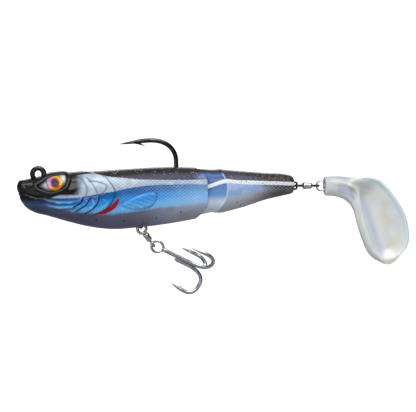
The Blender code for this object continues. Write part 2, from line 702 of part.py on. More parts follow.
def anchor_plate(gap):
    outline = [
        (136.2 - gap, -3.4 + gap), (142.4 + gap, -3.4 + gap), (145.6 + gap, -9.0), (145.0 + gap, -12.4 - gap),
        (140.5, -9.2 - gap), (136.2 - gap, -7.4 - gap),
    ]
    return prism(outline, -0.8 - gap, 0.8 + gap)


def anchor_neck(gap):
    return lathe([(133.4, 0.5 + gap), (137.0, 0.5 + gap)], (0, 0, TAIL_Z), (1, 0, 0), 10)


def tail_anchor(body):
    """The eye that the split ring goes through, and the plate that holds it in the soft tail."""
    eye = ring((ANCHOR_EYE_X, 0, TAIL_Z), ANCHOR_EYE_RING, ANCHOR_EYE_WIRE, (0, 0, 1))
    anchor = piece("tail_anchor", eye, "nylon", body)
    add(anchor, "anchor_neck", anchor_neck(0.0))
    add(anchor, "anchor_plate", anchor_plate(0.0))


def edge_point(edge, share):
    """A point on an edge of the paddle, at a share of the way from the stem to the tip."""
    places = np.linspace(0, 1, len(edge))
    return np.array([smooth_line(list(zip(places, column)), share) for column in np.array(edge).T])


def paddle_ring(share, points=12):
    """A cross-section of the tail: round in the stem, then a cupped blade with a thick inner edge."""
    inner, outer = edge_point(INNER_EDGE, share), edge_point(OUTER_EDGE, share)
    blade = smooth_step((share - 0.22) / 0.33)
    thickness = STEM_HALF_THICKNESS + (PADDLE_HALF_THICKNESS - STEM_HALF_THICKNESS) * blade
    thickness *= min(1.0, 0.72 + 2.8 * share)  # the stem's chamfered front
    if share > TIP_START:
        thickness *= math.sqrt(1 - 0.9 * ((share - TIP_START) / (1 - TIP_START)) ** 2)
    power = 2 + 2.5 * blade
    angles = np.linspace(0, math.pi, points + 1)
    section = []
    for side, turns in ((-1, angles[:-1]), (1, angles[:0:-1])):
        for angle in turns:
            across = (1 - math.cos(angle)) / 2
            rounding = max(0.0, 1 - abs(2 * across - 1) ** power) ** (1 / power)
            thick = 0.75 * math.exp(-(((across - 0.2) / 0.16) ** 2))
            spine = 1 + blade * (thick - 0.45 * math.sin(math.pi * across) ** 2)
            cup = PADDLE_CUP * blade * math.sin(math.pi * across) ** 2
            x, z = inner + (outer - inner) * across
            section.append((x, side * thickness * rounding * spine + cup, z))
    return section


def tail_paddle(body):
    shares = [0.0, 0.05, 0.1, *np.linspace(0.15, 1.0, 17)]
    paddle = piece("tail_paddle", loft([paddle_ring(share) for share in shares]), "tail_rubber", body, 60.0)
    pocket = arc((ANCHOR_EYE_X, 0), ANCHOR_EYE_RING + ANCHOR_EYE_WIRE + GAP, 0, 345, 23)
    cut(paddle, "anchor_eye_pocket", prism(pocket, TAIL_Z - 0.8, TAIL_Z + 0.8, "Z"))
    cut(paddle, "anchor_neck_pocket", anchor_neck(GAP))
    cut(paddle, "anchor_plate_pocket", anchor_plate(GAP))
    mouth = [(132.7, -0.9), (132.7, 0.9), (131.6, 1.1), (129.0, 3.3), (129.0, -3.3), (131.6, -1.1)]
    cut(paddle, "ring_mouth", prism(mouth, TAIL_Z - 2.9, TAIL_Z + 2.9, "Z"))


# --- the whole lure ---------------------------------------------------------------------------


def build():
    clear_scene()
    front = body_empty("front_body", (0.0, 0.0, 0.0))
    front_skin(front)
    main_hook(front)
    head_weight(front)
    front_frame(front)
    belly_hanger(front)
    hinge_pin(front)
    fish_eyes(front)

    upper = body_empty("belly_upper_body", BELLY_PIVOT, front)
    belly_axis = below(BELLY_ANGLE)
    middle = Vector(BELLY_PIVOT) + belly_axis * (sum(BELLY_BARREL) / 2)
    belly_barrel = body_empty("belly_barrel_body", tuple(middle), upper)
    lower = body_empty("belly_lower_body", tuple(middle), belly_barrel)
    belly_swivel(upper, belly_barrel, lower)
    treble(body_empty("treble_body", tuple(treble_pivot()), lower))

    rear = body_empty("rear_body", (HINGE_X, 0.0, 0.0), front)
    rear_skin(rear)
    rear_frame(rear)
    tail_hanger(rear)

    tail_front = body_empty("tail_front_body", (TAIL_HANGER_X, 0.0, TAIL_Z), rear)
    middle = (sum(TAIL_BARREL) / 2, 0.0, TAIL_Z)
    tail_barrel = body_empty("tail_barrel_body", middle, tail_front)
    tail_rear = body_empty("tail_rear_body", middle, tail_barrel)
    tail_swivel(tail_front, tail_barrel, tail_rear)
    ring_body = body_empty("split_ring_body", (RING_PIVOT_X, 0.0, TAIL_Z), tail_rear)
    split_ring(ring_body)
    tail = body_empty("tail_body", (TAIL_PIVOT_X, 0.0, TAIL_Z), ring_body)
    tail_anchor(tail)
    tail_paddle(tail)


build()
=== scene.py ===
"""Looks of the jointed swimbait: painted soft skins, fish eyes, pearl tail, hooks and swivels.

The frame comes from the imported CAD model. The head points to -X, the back to +Z and the left flank
to -Y; the origin is the centre of the line-tie eye. Shapes are worked out in millimetres.
"""

import math

import bpy
import numpy as np
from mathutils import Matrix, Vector


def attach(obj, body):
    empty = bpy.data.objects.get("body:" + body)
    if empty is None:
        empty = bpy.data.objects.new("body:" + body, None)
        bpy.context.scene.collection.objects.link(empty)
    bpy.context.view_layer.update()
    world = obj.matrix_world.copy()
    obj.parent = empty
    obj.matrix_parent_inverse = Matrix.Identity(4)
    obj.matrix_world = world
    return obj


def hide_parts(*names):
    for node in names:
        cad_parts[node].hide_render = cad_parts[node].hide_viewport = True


MM = 0.001

# Body outline, as in part.py, as (X, value) pairs.
NOSE_X = -9.1
FRONT_END_X = 75.4
REAR_END_X = 116.4
BACK_LINE = [
    (-9.1, -4.6), (-8.2, -3.1), (-6.2, -2.5), (-0.7, -1.3), (4.8, 0.4), (8.0, 0.7), (21.3, 1.1),
    (40.6, 2.4), (59.9, 3.3), (75.0, 2.85), (93.0, 1.5), (104.0, 0.7), (114.0, -0.1), (116.4, -0.9),
]
BELLY_LINE = [
    (-9.1, -7.0), (-8.2, -10.2), (-6.5, -13.2), (-4.6, -15.2), (-2.1, -16.6), (4.8, -18.5),
    (14.5, -21.2), (23.2, -23.2), (32.4, -24.3), (44.8, -23.7), (56.7, -22.3), (66.8, -20.7), (75.4, -19.0),
    (84.0, -17.0), (93.0, -14.7), (104.0, -11.2), (112.0, -9.4), (116.4, -8.4),
]
HALF_WIDTH = [
    (-9.1, 1.7), (-8.2, 3.2), (-6.5, 4.3), (-3.0, 5.4), (4.8, 6.8), (14.5, 7.8), (28.0, 8.5), (45.0, 8.4),
    (60.0, 8.0), (75.4, 7.4), (90.0, 6.7), (104.0, 5.4), (112.0, 4.6), (116.4, 3.8),
]
ROUNDNESS = 2.25
HINGE_X = 78.0
SOCKET_RADIUS = 6.8
SOCKET_LIP = math.sqrt(SOCKET_RADIUS**2 - (HINGE_X - FRONT_END_X) ** 2)
NOTCH_START = 60.0
KNUCKLE_RADIUS = 6.2
KNUCKLE_DROP = 0.5
KNUCKLE_LIFT = 1.4
RIDGE_LINE = [(-17.0, 80.2), (-12.0, 83.4), (-6.0, 84.6), (2.0, 82.2)]

# Paint lines on the flanks, as (X, Z).
BAND_TOP = [
    (14.0, -0.6), (28.0, -0.6), (31.0, -1.2), (38.0, -1.8), (42.0, -2.3), (49.0, -2.5), (67.0, -2.6),
    (76.0, -2.3),
]
BAND_BOTTOM = [
    (-9.0, -11.0), (3.0, -10.6), (10.0, -10.7), (16.6, -10.3), (25.7, -8.8), (33.0, -7.6), (37.2, -6.6),
    (42.0, -5.8), (49.0, -5.0), (58.0, -4.6), (67.0, -4.5), (76.0, -4.5),
]
BLUE_BOTTOM = [
    (-9.0, -13.5), (4.8, -14.8), (14.6, -16.1), (24.0, -17.4), (35.0, -17.0), (48.0, -15.2),
    (58.0, -14.0), (76.0, -12.6),
]
EYE_OUTLINE = [
    (-1.4, -5.6), (1.4, -3.6), (4.6, -1.5), (8.4, -0.5), (11.2, -0.2), (11.8, -1.4), (11.4, -3.4),
    (9.8, -5.7), (7.2, -7.3), (4.0, -7.8), (1.1, -7.0),
]
IRIS_CENTRE = (6.2, -3.9)
IRIS_RADIUS = 3.75
PUPIL_RADIUS = 1.75
EYE_ROWS = 46
MOUTH_LINE = [(-9.3, -8.2), (-7.6, -8.4), (-5.6, -9.2), (-3.4, -9.9), (-1.0, -10.4), (1.5, -10.2)]
# Line of the painted highlight under the eye.
CHEEK_HIGHLIGHT = [(-3.6, -6.9), (-1.2, -8.6), (3.0, -9.6)]
LIP_RIM = [(-8.9, -4.0), (-7.7, -6.2), (-6.3, -8.2), (-4.2, -9.2), (-1.5, -9.3)]
GILL_SLITS = [
    [(18.6, -10.8), (17.2, -13.0), (14.4, -14.6)],
    [(21.6, -11.0), (19.4, -13.9), (15.4, -16.6)],
    [(25.6, -10.4), (24.8, -13.2), (22.6, -15.6), (19.6, -17.4)],
]
COVER_EDGE = [
    (27.6, -0.6), (30.5, -3.0), (32.7, -6.9), (32.6, -9.9), (31.2, -13.0), (28.2, -15.9), (23.4, -18.2),
]
COVER_LINES = [
    [(17.6, -1.0), (19.4, -4.0), (20.4, -7.2), (19.8, -10.4)],
    [(20.6, -1.6), (22.8, -4.4), (24.4, -7.4), (25.2, -9.0)],
    [(21.4, -3.3), (26.0, -3.8), (29.2, -5.4), (28.6, -7.4), (26.8, -8.9)],
]
RED_PATCH = [
    (34.6, -10.6), (34.5, -13.2), (32.2, -15.8), (28.4, -17.6), (22.8, -18.0), (26.8, -16.2), (31.0, -13.8),
]
NOSTRILS = [((-8.3, -7.0), 0.75), ((-7.7, -9.6), 0.7), ((-6.2, -10.6), 0.5)]
GILL_GLINTS = [
    [(19.2, -11.2), (20.4, -12.4), (18.8, -13.8)],
    [(22.6, -11.4), (23.2, -13.4), (21.6, -15.0)],
    [(27.6, -11.0), (29.4, -12.6), (27.2, -14.6), (25.4, -15.4)],
    [(38.0, -14.6), (42.0, -15.0), (47.0, -14.2), (50.6, -12.2)],
]
# Places and radii of the dark spots.
BELLY_SPOTS = [
    (52.2, -19.4, 0.42), (63.3, -16.8, 0.5), (37.5, -20.6, 0.5), (25.0, -20.2, 0.55), (46.5, -21.4, 0.35),
    (68.8, -9.0, 0.3),
]
JAW_FOLDS = [
    [(1.5, -11.6), (6.0, -12.6), (11.0, -12.9), (16.5, -12.1)],
    [(2.5, -13.9), (9.0, -15.0), (16.0, -14.2)],
]
FIN_OUTLINE = [
    (36.2, -13.8), (38.8, -11.8), (42.0, -10.2), (46.0, -8.8), (50.5, -8.0), (52.0, -9.4), (51.2, -12.4),
    (48.6, -14.6), (44.0, -15.6), (39.4, -15.4),
]
STRIPE_TOP = [(76.0, -4.6), (85.2, -2.2), (87.2, -2.5), (95.1, -2.8), (104.4, -3.1), (116.4, -3.4)]
STRIPE_BOTTOM = [(76.0, -6.3), (85.2, -3.9), (87.1, -4.1), (104.0, -4.7), (116.4, -5.0)]
REAR_SPOTS = 26
REAR_BLUE_BOTTOM = [(76.0, -12.5), (85.0, -11.0), (95.0, -8.6), (104.0, -6.6), (116.4, -5.4)]

# Tail paddle, as in part.py but for its rounder tip.
INNER_EDGE = [
    (130.9, -8.5), (131.6, -9.4), (135.5, -9.7), (139.6, -10.9), (142.8, -13.2), (144.7, -16.5),
    (146.2, -22.0), (148.2, -28.0), (150.7, -34.0), (153.6, -37.4), (157.4, -39.5),
]
OUTER_EDGE = [
    (130.9, -1.6), (131.6, -0.8), (136.5, -0.6), (143.5, -0.9), (151.0, -0.9), (157.0, -2.6), (163.5, -9.4),
    (168.4, -17.5), (170.4, -26.5), (169.2, -32.6), (164.4, -38.4),
]
TIP_START = 0.86
TIP_BULGE = 1.4
# Shares and depths of the rings of the recess for the split ring.
RECESS_RINGS = [(0.88, 0.0), (0.78, 0.0), (0.74, 1.5), (0.3, 1.6)]
STEM_HALF_THICKNESS = 4.2
PADDLE_HALF_THICKNESS = 1.7
PADDLE_CUP = 1.6
DISH_DEPTH = 0.9
TAIL_Z = -5.0
# How far across the paddle its ridge runs, from the stem to the tip.
RIDGE_PLACE = [(0.0, 0.5), (0.28, 0.62), (0.38, 0.44), (0.48, 0.22), (0.6, 0.13), (1.0, 0.12)]
STEM_INSERT = [(136.4, -4.4), (141.0, -5.0), (144.0, -8.4), (144.4, -11.6), (141.0, -9.4), (137.0, -7.8)]

# Wire and swivels, placed as in part.py, with slightly thicker wire.
LINE_TIE_RADIUS = 2.55
LINE_TIE_PITCH = 1.7
HOOK_WIRE = 1.03
HOOK_TOP = (51.6, 15.0)
HOOK_POINT = (36.9, 13.3)
BELLY_PIVOT = (46.6, 0.0, -23.6)
BELLY_SLOT_DEPTH = 3.0
BELLY_ANGLE = 54.0
LOWER_EYE_CENTRE = 9.0
LOWER_EYE_RADIUS = 1.35
TREBLE_ANGLE = 25.5
TREBLE_WIRE = 0.86
TREBLE_EYE_WIRE = 0.6
TREBLE_EYE = 2.45
SPLIT_RING_X = 129.5
SPLIT_RING_TURNS = 1.95
SPLIT_RING_PITCH = 0.56
SPLIT_RING_RADIUS = 2.25
SPLIT_RING_WIRE = 0.32

# Camera and stage. The bowl's sizes are in metres.
CAMERA_AZIMUTH = -14.0
CAMERA_ELEVATION = 0.0
CAMERA_LENS = 400.0
CAMERA_DISTANCE = 2056.0
CAMERA_TARGET = (77.3, 0.0, -14.1)
FLOOR_Z = -75.0
SWEEP_GLOW = 1.0
BOWL_X = 0.054
BOWL_FLAT = 2.6
BOWL_CURVE = 0.6
BOWL_HEIGHT = 3.0
WORLD_LIGHT = 0.5
LIGHT_TARGET = (0.05, 0.0, -0.01)
# Name, place, size and power of each light, in metres and watts.
LIGHTS = [
    ("top_softbox", (0.03, -0.34, 0.60), (0.9, 0.18), 3.2),
    ("front_softbox", (0.22, -0.85, 0.62), (0.7, 0.3), 4.2),
    ("camera_side_panel", (-0.168, -0.873, 0.0), (0.5, 0.6), 0.9),
    ("head_side_panel", (-0.95, -0.55, 0.1), (0.8, 0.8), 2.6),
    ("back_softbox", (0.2, 0.7, 0.45), (0.6, 0.3), 2.0),
]


# --- small maths -----------------------------------------------------------------------------


def smooth_line(points, at):
    """The value at a place on a smooth curve through the points; flat past its ends."""
    places, values = np.array(points, float).T
    slopes = np.gradient(values, places)
    i = np.clip(np.searchsorted(places, at) - 1, 0, len(places) - 2)
    step = places[i + 1] - places[i]
    t = np.clip((at - places[i]) / step, 0.0, 1.0)
    start = (1 + 2 * t) * (1 - t) ** 2 * values[i] + t * (1 - t) ** 2 * step * slopes[i]
    end = t * t * (3 - 2 * t) * values[i + 1] - t * t * (1 - t) * step * slopes[i + 1]
    return start + end


def ramp(value, low, high):
    """Rises smoothly from 0 at low to 1 at high; low may be the larger."""
    t = np.clip((value - low) / (high - low), 0.0, 1.0)
    return t * t * (3 - 2 * t)


def bump(value, middle, width):
    """A soft hump, 1 in the middle."""
    return np.exp(-(((value - middle) / width) ** 2))


def smooth_outline(points, closed=True, per_side=6):
    """A Catmull-Rom curve through the points, as a list of points."""
    points = [np.array(p, float) for p in points]
    count = len(points)
    result = []
    for i in range(count if closed else count - 1):
        if closed:
            a, b, c, d = (points[(i + k) % count] for k in (-1, 0, 1, 2))
        else:
            a, b, c, d = (points[min(max(i + k, 0), count - 1)] for k in (-1, 0, 1, 2))
        square, cube = 2 * a - 5 * b + 4 * c - d, 3 * b - a - 3 * c + d
        for t in np.linspace(0, 1, per_side, endpoint=False):
            result.append(0.5 * (2 * b + (c - a) * t + square * t**2 + cube * t**3))
    if not closed:
        result.append(points[-1])
    return np.array(result)


def line_distance(x, z, points, closed=False):
    """How far each place is from a smooth line."""
    line = smooth_outline(points, closed)
    starts = line if closed else line[:-1]
    ends = np.roll(line, -1, axis=0) if closed else line[1:]
    nearest = np.full(x.shape, 1e9)
    for (ax, az), (bx, bz) in zip(starts, ends):
        dx, dz = bx - ax, bz - az
        t = np.clip(((x - ax) * dx + (z - az) * dz) / (dx * dx + dz * dz), 0, 1)
        nearest = np.minimum(nearest, np.hypot(x - ax - t * dx, z - az - t * dz))
    return nearest


def depth_inside(x, z, points):
    """How far each place is inside a smooth closed outline; negative outside it."""
    line = smooth_outline(points)
    inside = np.zeros(x.shape, bool)
    for (ax, az), (bx, bz) in zip(line, np.roll(line, -1, axis=0)):
        if az == bz:
            continue
        crosses = ((az > z) != (bz > z)) & (x < (bx - ax) * (z - az) / (bz - az) + ax)
        inside ^= crosses
    away = line_distance(x, z, points, closed=True)
    return np.where(inside, away, -away)


def near_line(x, z, points, width):
    """1 on a smooth line, fading softly to 0 beside it."""
    return bump(line_distance(x, z, points), 0, width)


def mix(under, over, share):
    """Lays one colour over another, place by place."""
    share = np.asarray(share)[..., None]
    return np.asarray(under) * (1 - share) + np.asarray(over) * share


def colour(red, green, blue):
    """A display colour from 0 to 255 as scene-linear light."""
    display = np.array((red, green, blue)) / 255.0
    return np.where(display <= 0.04045, display / 12.92, ((display + 0.055) / 1.055) ** 2.4)


def blended(first, second, share):
    """From one display colour to another."""
    return mix(colour(*first), colour(*second), share)


def layered(paint, *layers):
    """Lays (display colour, share) layers over the paint, in order."""
    for tint, share in layers:
        paint = mix(paint, colour(*tint), share)
    return paint


# --- meshes ----------------------------------------------------------------------------------


def grid_normals(points):
    """Outward normals of a grid of points: rows along the body, columns round it."""
    along = np.gradient(points, axis=0)
    across = np.roll(points, -1, axis=1) - np.roll(points, 1, axis=1)
    normals = np.cross(along, across)
    length = np.linalg.norm(normals, axis=2, keepdims=True)
    return normals / np.maximum(length, 1e-9)


def shrunk(ring, share):
    """A ring drawn in towards its middle."""
    middle = ring.mean(axis=0)
    return middle + (ring - middle) * share


def placed(name, data):
    """A new object in the scene."""
    obj = bpy.data.objects.new(name, data)
    bpy.context.scene.collection.objects.link(obj)
    return obj


def clothe(piece, material, body, nodes):
    """Gives a new piece its material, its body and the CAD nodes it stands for."""
    piece.data.materials.append(material)
    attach(piece, body)
    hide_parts(*nodes)


def grid_mesh(name, points, attributes, start_cap=(), end_cap=()):
    """A closed skin from rings of points, with colours and numbers laid on it.

    Each cap is a list of further rings, and the last ring is filled.
    """
    rows, columns = points.shape[:2]
    parts = [points.reshape(-1, 3)]
    index = np.arange(rows * columns).reshape(rows, columns)
    rings = [index[i] for i in range(rows)]
    total = rows * columns
    for cap in (start_cap, end_cap):
        for ring in cap:
            parts.append(ring)
            new = np.arange(total, total + columns)
            total += columns
            rings = [new, *rings] if cap is start_cap else [*rings, new]
    faces = []
    for before, after in zip(rings, rings[1:]):
        faces.append(np.stack([before, after, np.roll(after, -1), np.roll(before, -1)], axis=1))
    faces = np.concatenate(faces)
    mesh = bpy.data.meshes.new(name)
    vertices = np.concatenate(parts) * MM
    ends = [rings[0].tolist(), rings[-1].tolist()[::-1]]
    mesh.from_pydata(vertices.tolist(), [], faces.tolist() + ends)
    for key, values in attributes.items():
        if values.ndim == 3:
            full = np.ones((total, 4))
            full[:, :3] = values[-1, -1]
            full[: rows * columns, :3] = values.reshape(-1, 3)
            mesh.attributes.new(key, "FLOAT_COLOR", "POINT").data.foreach_set("color", full.ravel())
        else:
            full = np.zeros(total)
            full[: rows * columns] = values.ravel()
            mesh.attributes.new(key, "FLOAT", "POINT").data.foreach_set("value", full)
    mesh.shade_smooth()
    mesh.update()
    return placed(name, mesh)


def oval_sides(columns):
    """How far across and how far up each column of a cross-section lies, from -1 to 1."""
    turn = 2 * math.pi * (np.arange(columns) + 0.5) / columns
    across = np.sign(np.sin(turn)) * np.abs(np.sin(turn)) ** (2 / ROUNDNESS)
    up = np.sign(np.cos(turn)) * np.abs(np.cos(turn)) ** (2 / ROUNDNESS)
    return across, up


def ovals(x, top, bottom, half_width):
    """The body's surface over a grid of x, one row for each cross-section."""
    across, up = oval_sides(x.shape[1])
    height = (top - bottom) / 2 * up + (top + bottom) / 2
    return np.stack([x, half_width * across, height], axis=2)


def flank_y(x, z):
    """Half the body's width at a place on the flank."""
    top, bottom = smooth_line(BACK_LINE, x), smooth_line(BELLY_LINE, x)
    share = np.clip(1 - np.abs((z - (top + bottom) / 2) / ((top - bottom) / 2)) ** ROUNDNESS, 0, 1)
    return smooth_line(HALF_WIDTH, x) * share ** (1 / ROUNDNESS)


def scale_relief(x, z, pitch=2.1, lean=0.72):
    """0 on the lines between scales and 1 in their middles: a net of leaning diamonds."""
    first, second = (np.abs(((x + way * z / lean) / pitch) % 1.0 - 0.5) * 2 for way in (1, -1))
    return np.minimum(ramp(first, 0.0, 0.5), ramp(second, 0.0, 0.5))


def on_flank(x, z):
    """1 on the flanks, fading to 0 along the back and the belly, where the scales run out."""
    nearest = np.minimum(smooth_line(BACK_LINE, x) - z, z - smooth_line(BELLY_LINE, x))
    return ramp(nearest, 0.5, 3.2)


def noise(x, z, size, seed):
    """Soft seeded noise from -1 to 1, as a sum of waves."""
    random = np.random.RandomState(seed)
    total = np.zeros(x.shape)
    for _ in range(9):
        angle, phase, stretch = random.rand(3)
        angle, phase = angle * 2 * math.pi, phase * 2 * math.pi
        along = x * math.cos(angle) + z * math.sin(angle)
        total += np.sin(along / size * (0.6 + stretch) * 2 * math.pi + phase)
    return total / 4.5


# --- materials -------------------------------------------------------------------------------


def new_material(name):
    material = bpy.data.materials.new(name)
    material.use_nodes = True
    tree = material.node_tree
    return material, tree, tree.nodes["Principled BSDF"]


def plug(tree, made, inputs):
    """Links a node's inputs to sockets, or sets them to plain values."""
    for key, value in inputs.items():
        if isinstance(value, bpy.types.NodeSocket):
            tree.links.new(value, made.inputs[key])
        else:
            made.inputs[key].default_value = value


def node(tree, kind, inputs=None, **settings):
    made = tree.nodes.new(kind)
    for key, value in settings.items():
        setattr(made, key, value)
    plug(tree, made, inputs or {})
    return made


def maths(tree, operation, first, second=0.0):
    return node(tree, "ShaderNodeMath", {0: first, 1: second}, operation=operation).outputs[0]


def mixed(tree, share, first, second, blend="MIX"):
    made = node(tree, "ShaderNodeMix", data_type="RGBA", blend_type=blend)
    plug(tree, made, {0: share, 6: first, 7: second})
    return made.outputs[2]


def fitted(tree, value, low, high, new_low=0.0, new_high=1.0):
    inputs = {0: value, 1: low, 2: high, 3: new_low, 4: new_high}
    return node(tree, "ShaderNodeMapRange", inputs, interpolation_type="SMOOTHSTEP").outputs[0]


def vector_maths(tree, operation, inputs):
    return node(tree, "ShaderNodeVectorMath", inputs, operation=operation).outputs[0]


def attribute(tree, name, output="Fac"):
    return node(tree, "ShaderNodeAttribute", attribute_name=name).outputs[output]


def object_place(tree):
    return node(tree, "ShaderNodeTexCoord").outputs["Object"]


def fine_bump(tree, height, strength, distance):
    inputs = {"Strength": strength, "Distance": distance, "Height": height}
    return node(tree, "ShaderNodeBump", inputs).outputs[0]


def noise_texture(tree, place, scale, detail=3.0, roughness=0.5):
    inputs = {"Vector": place, "Scale": scale, "Detail": detail, "Roughness": roughness}
    return node(tree, "ShaderNodeTexNoise", inputs).outputs["Fac"]


def scale_lines(tree, place, pitch, lean, width):
    """Masks of the scale net's two sets of leaning lines, 1 on a line."""
    parts = node(tree, "ShaderNodeSeparateXYZ", {0: place}).outputs
    leaning = maths(tree, "DIVIDE", parts[2], lean)
    masks = []
    for operation in ("ADD", "SUBTRACT"):
        across = maths(tree, "DIVIDE", maths(tree, operation, parts[0], leaning), pitch)
        near = maths(tree, "ABSOLUTE", maths(tree, "SUBTRACT", maths(tree, "FRACT", across), 0.5))
        masks.append(fitted(tree, near, 0.0, width, 1.0, 0.0))
    return masks


def skin_material(name):
    """Painted glossy soft plastic. The paint, the net's strength and the glitter are laid on the mesh."""
    material, tree, shader = new_material(name)
    place = object_place(tree)
    warp = node(tree, "ShaderNodeTexNoise", {"Vector": place, "Scale": 160.0, "Detail": 2.0})
    shift = vector_maths(tree, "SUBTRACT", {0: warp.outputs["Color"], 1: (0.5, 0.5, 0.5)})
    shift = vector_maths(tree, "SCALE", {0: shift, 3: 0.0007})
    warped = vector_maths(tree, "ADD", {0: place, 1: shift})
    paint = attribute(tree, "paint", "Color")
    cloud = noise_texture(tree, place, 900.0, 4.0, 0.6)
    cloudy = node(tree, "ShaderNodeValToRGB", {0: cloud}).outputs[0]
    paint = mixed(tree, 0.18, paint, mixed(tree, 1.0, paint, cloudy, "MULTIPLY"))

    net = maths(tree, "MAXIMUM", *scale_lines(tree, warped, 0.0021, 0.72, 0.2))
    dark = maths(tree, "MULTIPLY", net, attribute(tree, "dark_net"))
    paint = mixed(tree, dark, paint, (0.11, 0.15, 0.2, 1.0))
    fine_up, fine_down = scale_lines(tree, warped, 0.0019, 0.7, 0.17)
    fine = maths(tree, "MAXIMUM", maths(tree, "MULTIPLY", fine_up, 0.7), fine_down)
    pale_net = attribute(tree, "pale_net")
    paint = mixed(tree, maths(tree, "MULTIPLY", fine, pale_net), paint, (0.62, 0.78, 0.98, 1.0))

    cells = node(tree, "ShaderNodeTexVoronoi", {"Vector": place, "Scale": 1500.0}, feature="F1")
    pick = node(tree, "ShaderNodeSeparateColor", {0: cells.outputs["Color"]}).outputs
    dots = fitted(tree, cells.outputs["Distance"], 0.18, 0.34, 1.0, 0.0)
    chosen = maths(tree, "MULTIPLY", maths(tree, "GREATER_THAN", pick[0], 0.86), dots)
    glint = maths(tree, "MULTIPLY", chosen, attribute(tree, "glitter"))
    glint_colour = mixed(tree, pick[1], (0.25, 0.45, 0.95, 1.0), (0.85, 0.92, 1.0, 1.0))
    paint = mixed(tree, glint, paint, glint_colour)

    pale_groove = maths(tree, "MULTIPLY", maths(tree, "MULTIPLY", fine_down, pale_net), -0.6)
    height = maths(tree, "ADD", maths(tree, "MULTIPLY", dark, -0.5), pale_groove)
    height = maths(tree, "ADD", height, maths(tree, "MULTIPLY", cloud, 0.2))
    plug(tree, shader, {
        "Base Color": paint, "Metallic": attribute(tree, "foil"),
        "Roughness": fitted(tree, cloud, 0.3, 0.8, 0.34, 0.48), "Specular IOR Level": 0.22,
        "Coat Weight": 0.24, "Coat Roughness": 0.06,
        "Subsurface Weight": 0.12, "Subsurface Radius": (0.9, 0.9, 1.0), "Subsurface Scale": 0.0012,
        "Normal": fine_bump(tree, height, 0.35, 0.0002),
    })
    return material


def eye_material():
    """Printed eye under a clear dome. The print and its shine are laid on the mesh."""
    material, tree, shader = new_material("fish_eye_print")
    place = object_place(tree)
    grain = noise_texture(tree, place, 2600.0, 3.0)
    share = fitted(tree, grain, 0.35, 0.75, 0.0, 0.35)
    paint = mixed(tree, share, attribute(tree, "paint", "Color"), (1.0, 0.93, 0.75, 1.0), "SOFT_LIGHT")
    plug(tree, shader, {
        "Base Color": paint, "Metallic": attribute(tree, "foil"),
        "Roughness": fitted(tree, grain, 0.2, 0.8, 0.25, 0.4), "Specular IOR Level": 0.2,
        "Coat Weight": 0.12, "Coat Roughness": 0.03,
    })
    return material


def pearl_material():
    """Pearl-white translucent soft plastic with faint blue, violet and yellow drifts."""
    material, tree, shader = new_material("pearl_tail_rubber")
    place = object_place(tree)
    base = attribute(tree, "paint", "Color")
    drift = fitted(tree, noise_texture(tree, place, 75.0, 2.0), 0.42, 0.62)
    paint = mixed(tree, 0.12, base, mixed(tree, drift, base, (0.64, 0.69, 0.84, 1.0)))
    yellow = fitted(tree, noise_texture(tree, place, 110.0, 3.0), 0.55, 0.72, 0.0, 0.4)
    paint = mixed(tree, yellow, paint, (0.72, 0.72, 0.52, 1.0))
    flecks = noise_texture(tree, place, 2400.0, 2.0)
    paint = mixed(tree, fitted(tree, flecks, 0.6, 0.75, 0.0, 0.18), paint, (0.95, 0.97, 1.0, 1.0))
    plug(tree, shader, {
        "Base Color": paint, "Roughness": fitted(tree, flecks, 0.3, 0.8, 0.26, 0.4),
        "Subsurface Weight": 0.45, "Subsurface Radius": (1.0, 1.0, 1.05), "Subsurface Scale": 0.003,
        "Coat Weight": 0.35, "Coat Roughness": 0.12, "Normal": fine_bump(tree, flecks, 0.1, 0.0002),
    })
    return material


def metal_material(name, tint, worn_tint, rough_low, rough_high):
    """Plated wire: drawn grain, small handling marks and slightly uneven plating."""
    material, tree, shader = new_material(name)
    place = object_place(tree)
    cloud = noise_texture(tree, place, 500.0, 4.0, 0.6)
    fine = noise_texture(tree, place, 4000.0, 2.0)
    paint = mixed(tree, fitted(tree, cloud, 0.45, 0.7), (*tint, 1.0), (*worn_tint, 1.0))
    plug(tree, shader, {
        "Base Color": paint, "Metallic": 1.0,
        "Roughness": fitted(tree, cloud, 0.3, 0.75, rough_low, rough_high),
        "Normal": fine_bump(tree, fine, 0.12, 0.00005),
    })
    return material


def plain_material(name, tint, roughness, metallic=0.0):
    """Moulded nylon or cast lead: hidden pieces, with a faint mottle and grain."""
    material, tree, shader = new_material(name)
    place = object_place(tree)
    cloud = noise_texture(tree, place, 350.0, 5.0, 0.6)
    darker = tuple(0.72 * value for value in tint)
    paint = mixed(tree, fitted(tree, cloud, 0.35, 0.7), (*tint, 1.0), (*darker, 1.0))
    plug(tree, shader, {
        "Base Color": paint, "Metallic": metallic,
        "Roughness": fitted(tree, cloud, 0.3, 0.8, roughness - 0.08, roughness + 0.08),
        "Normal": fine_bump(tree, cloud, 0.2, 0.0001),
    })
    return material


def dress(node_names, material):
    """Gives CAD nodes a material in place of their plain one."""
    for name in node_names:
        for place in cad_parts[name].material_slots:
            place.link = "OBJECT"
            place.material = material


# --- front skin ------------------------------------------------------------------------------


def plate_edge(x, z, slit, reach):
    """1 on the head's side of a gill slit, fading to 0 over the reach; 0 past the slit."""
    along, height = smooth_outline(slit, closed=False).T
    ahead = np.interp(-z, -height, along) - x
    within = ramp(z, height.max() + 0.8, height.max() - 0.4) * ramp(z, height.min() - 0.8, height.min() + 0.4)
    return ramp(ahead, -0.1, 0.25) * np.exp(-np.clip(ahead, 0, None) / reach) * within


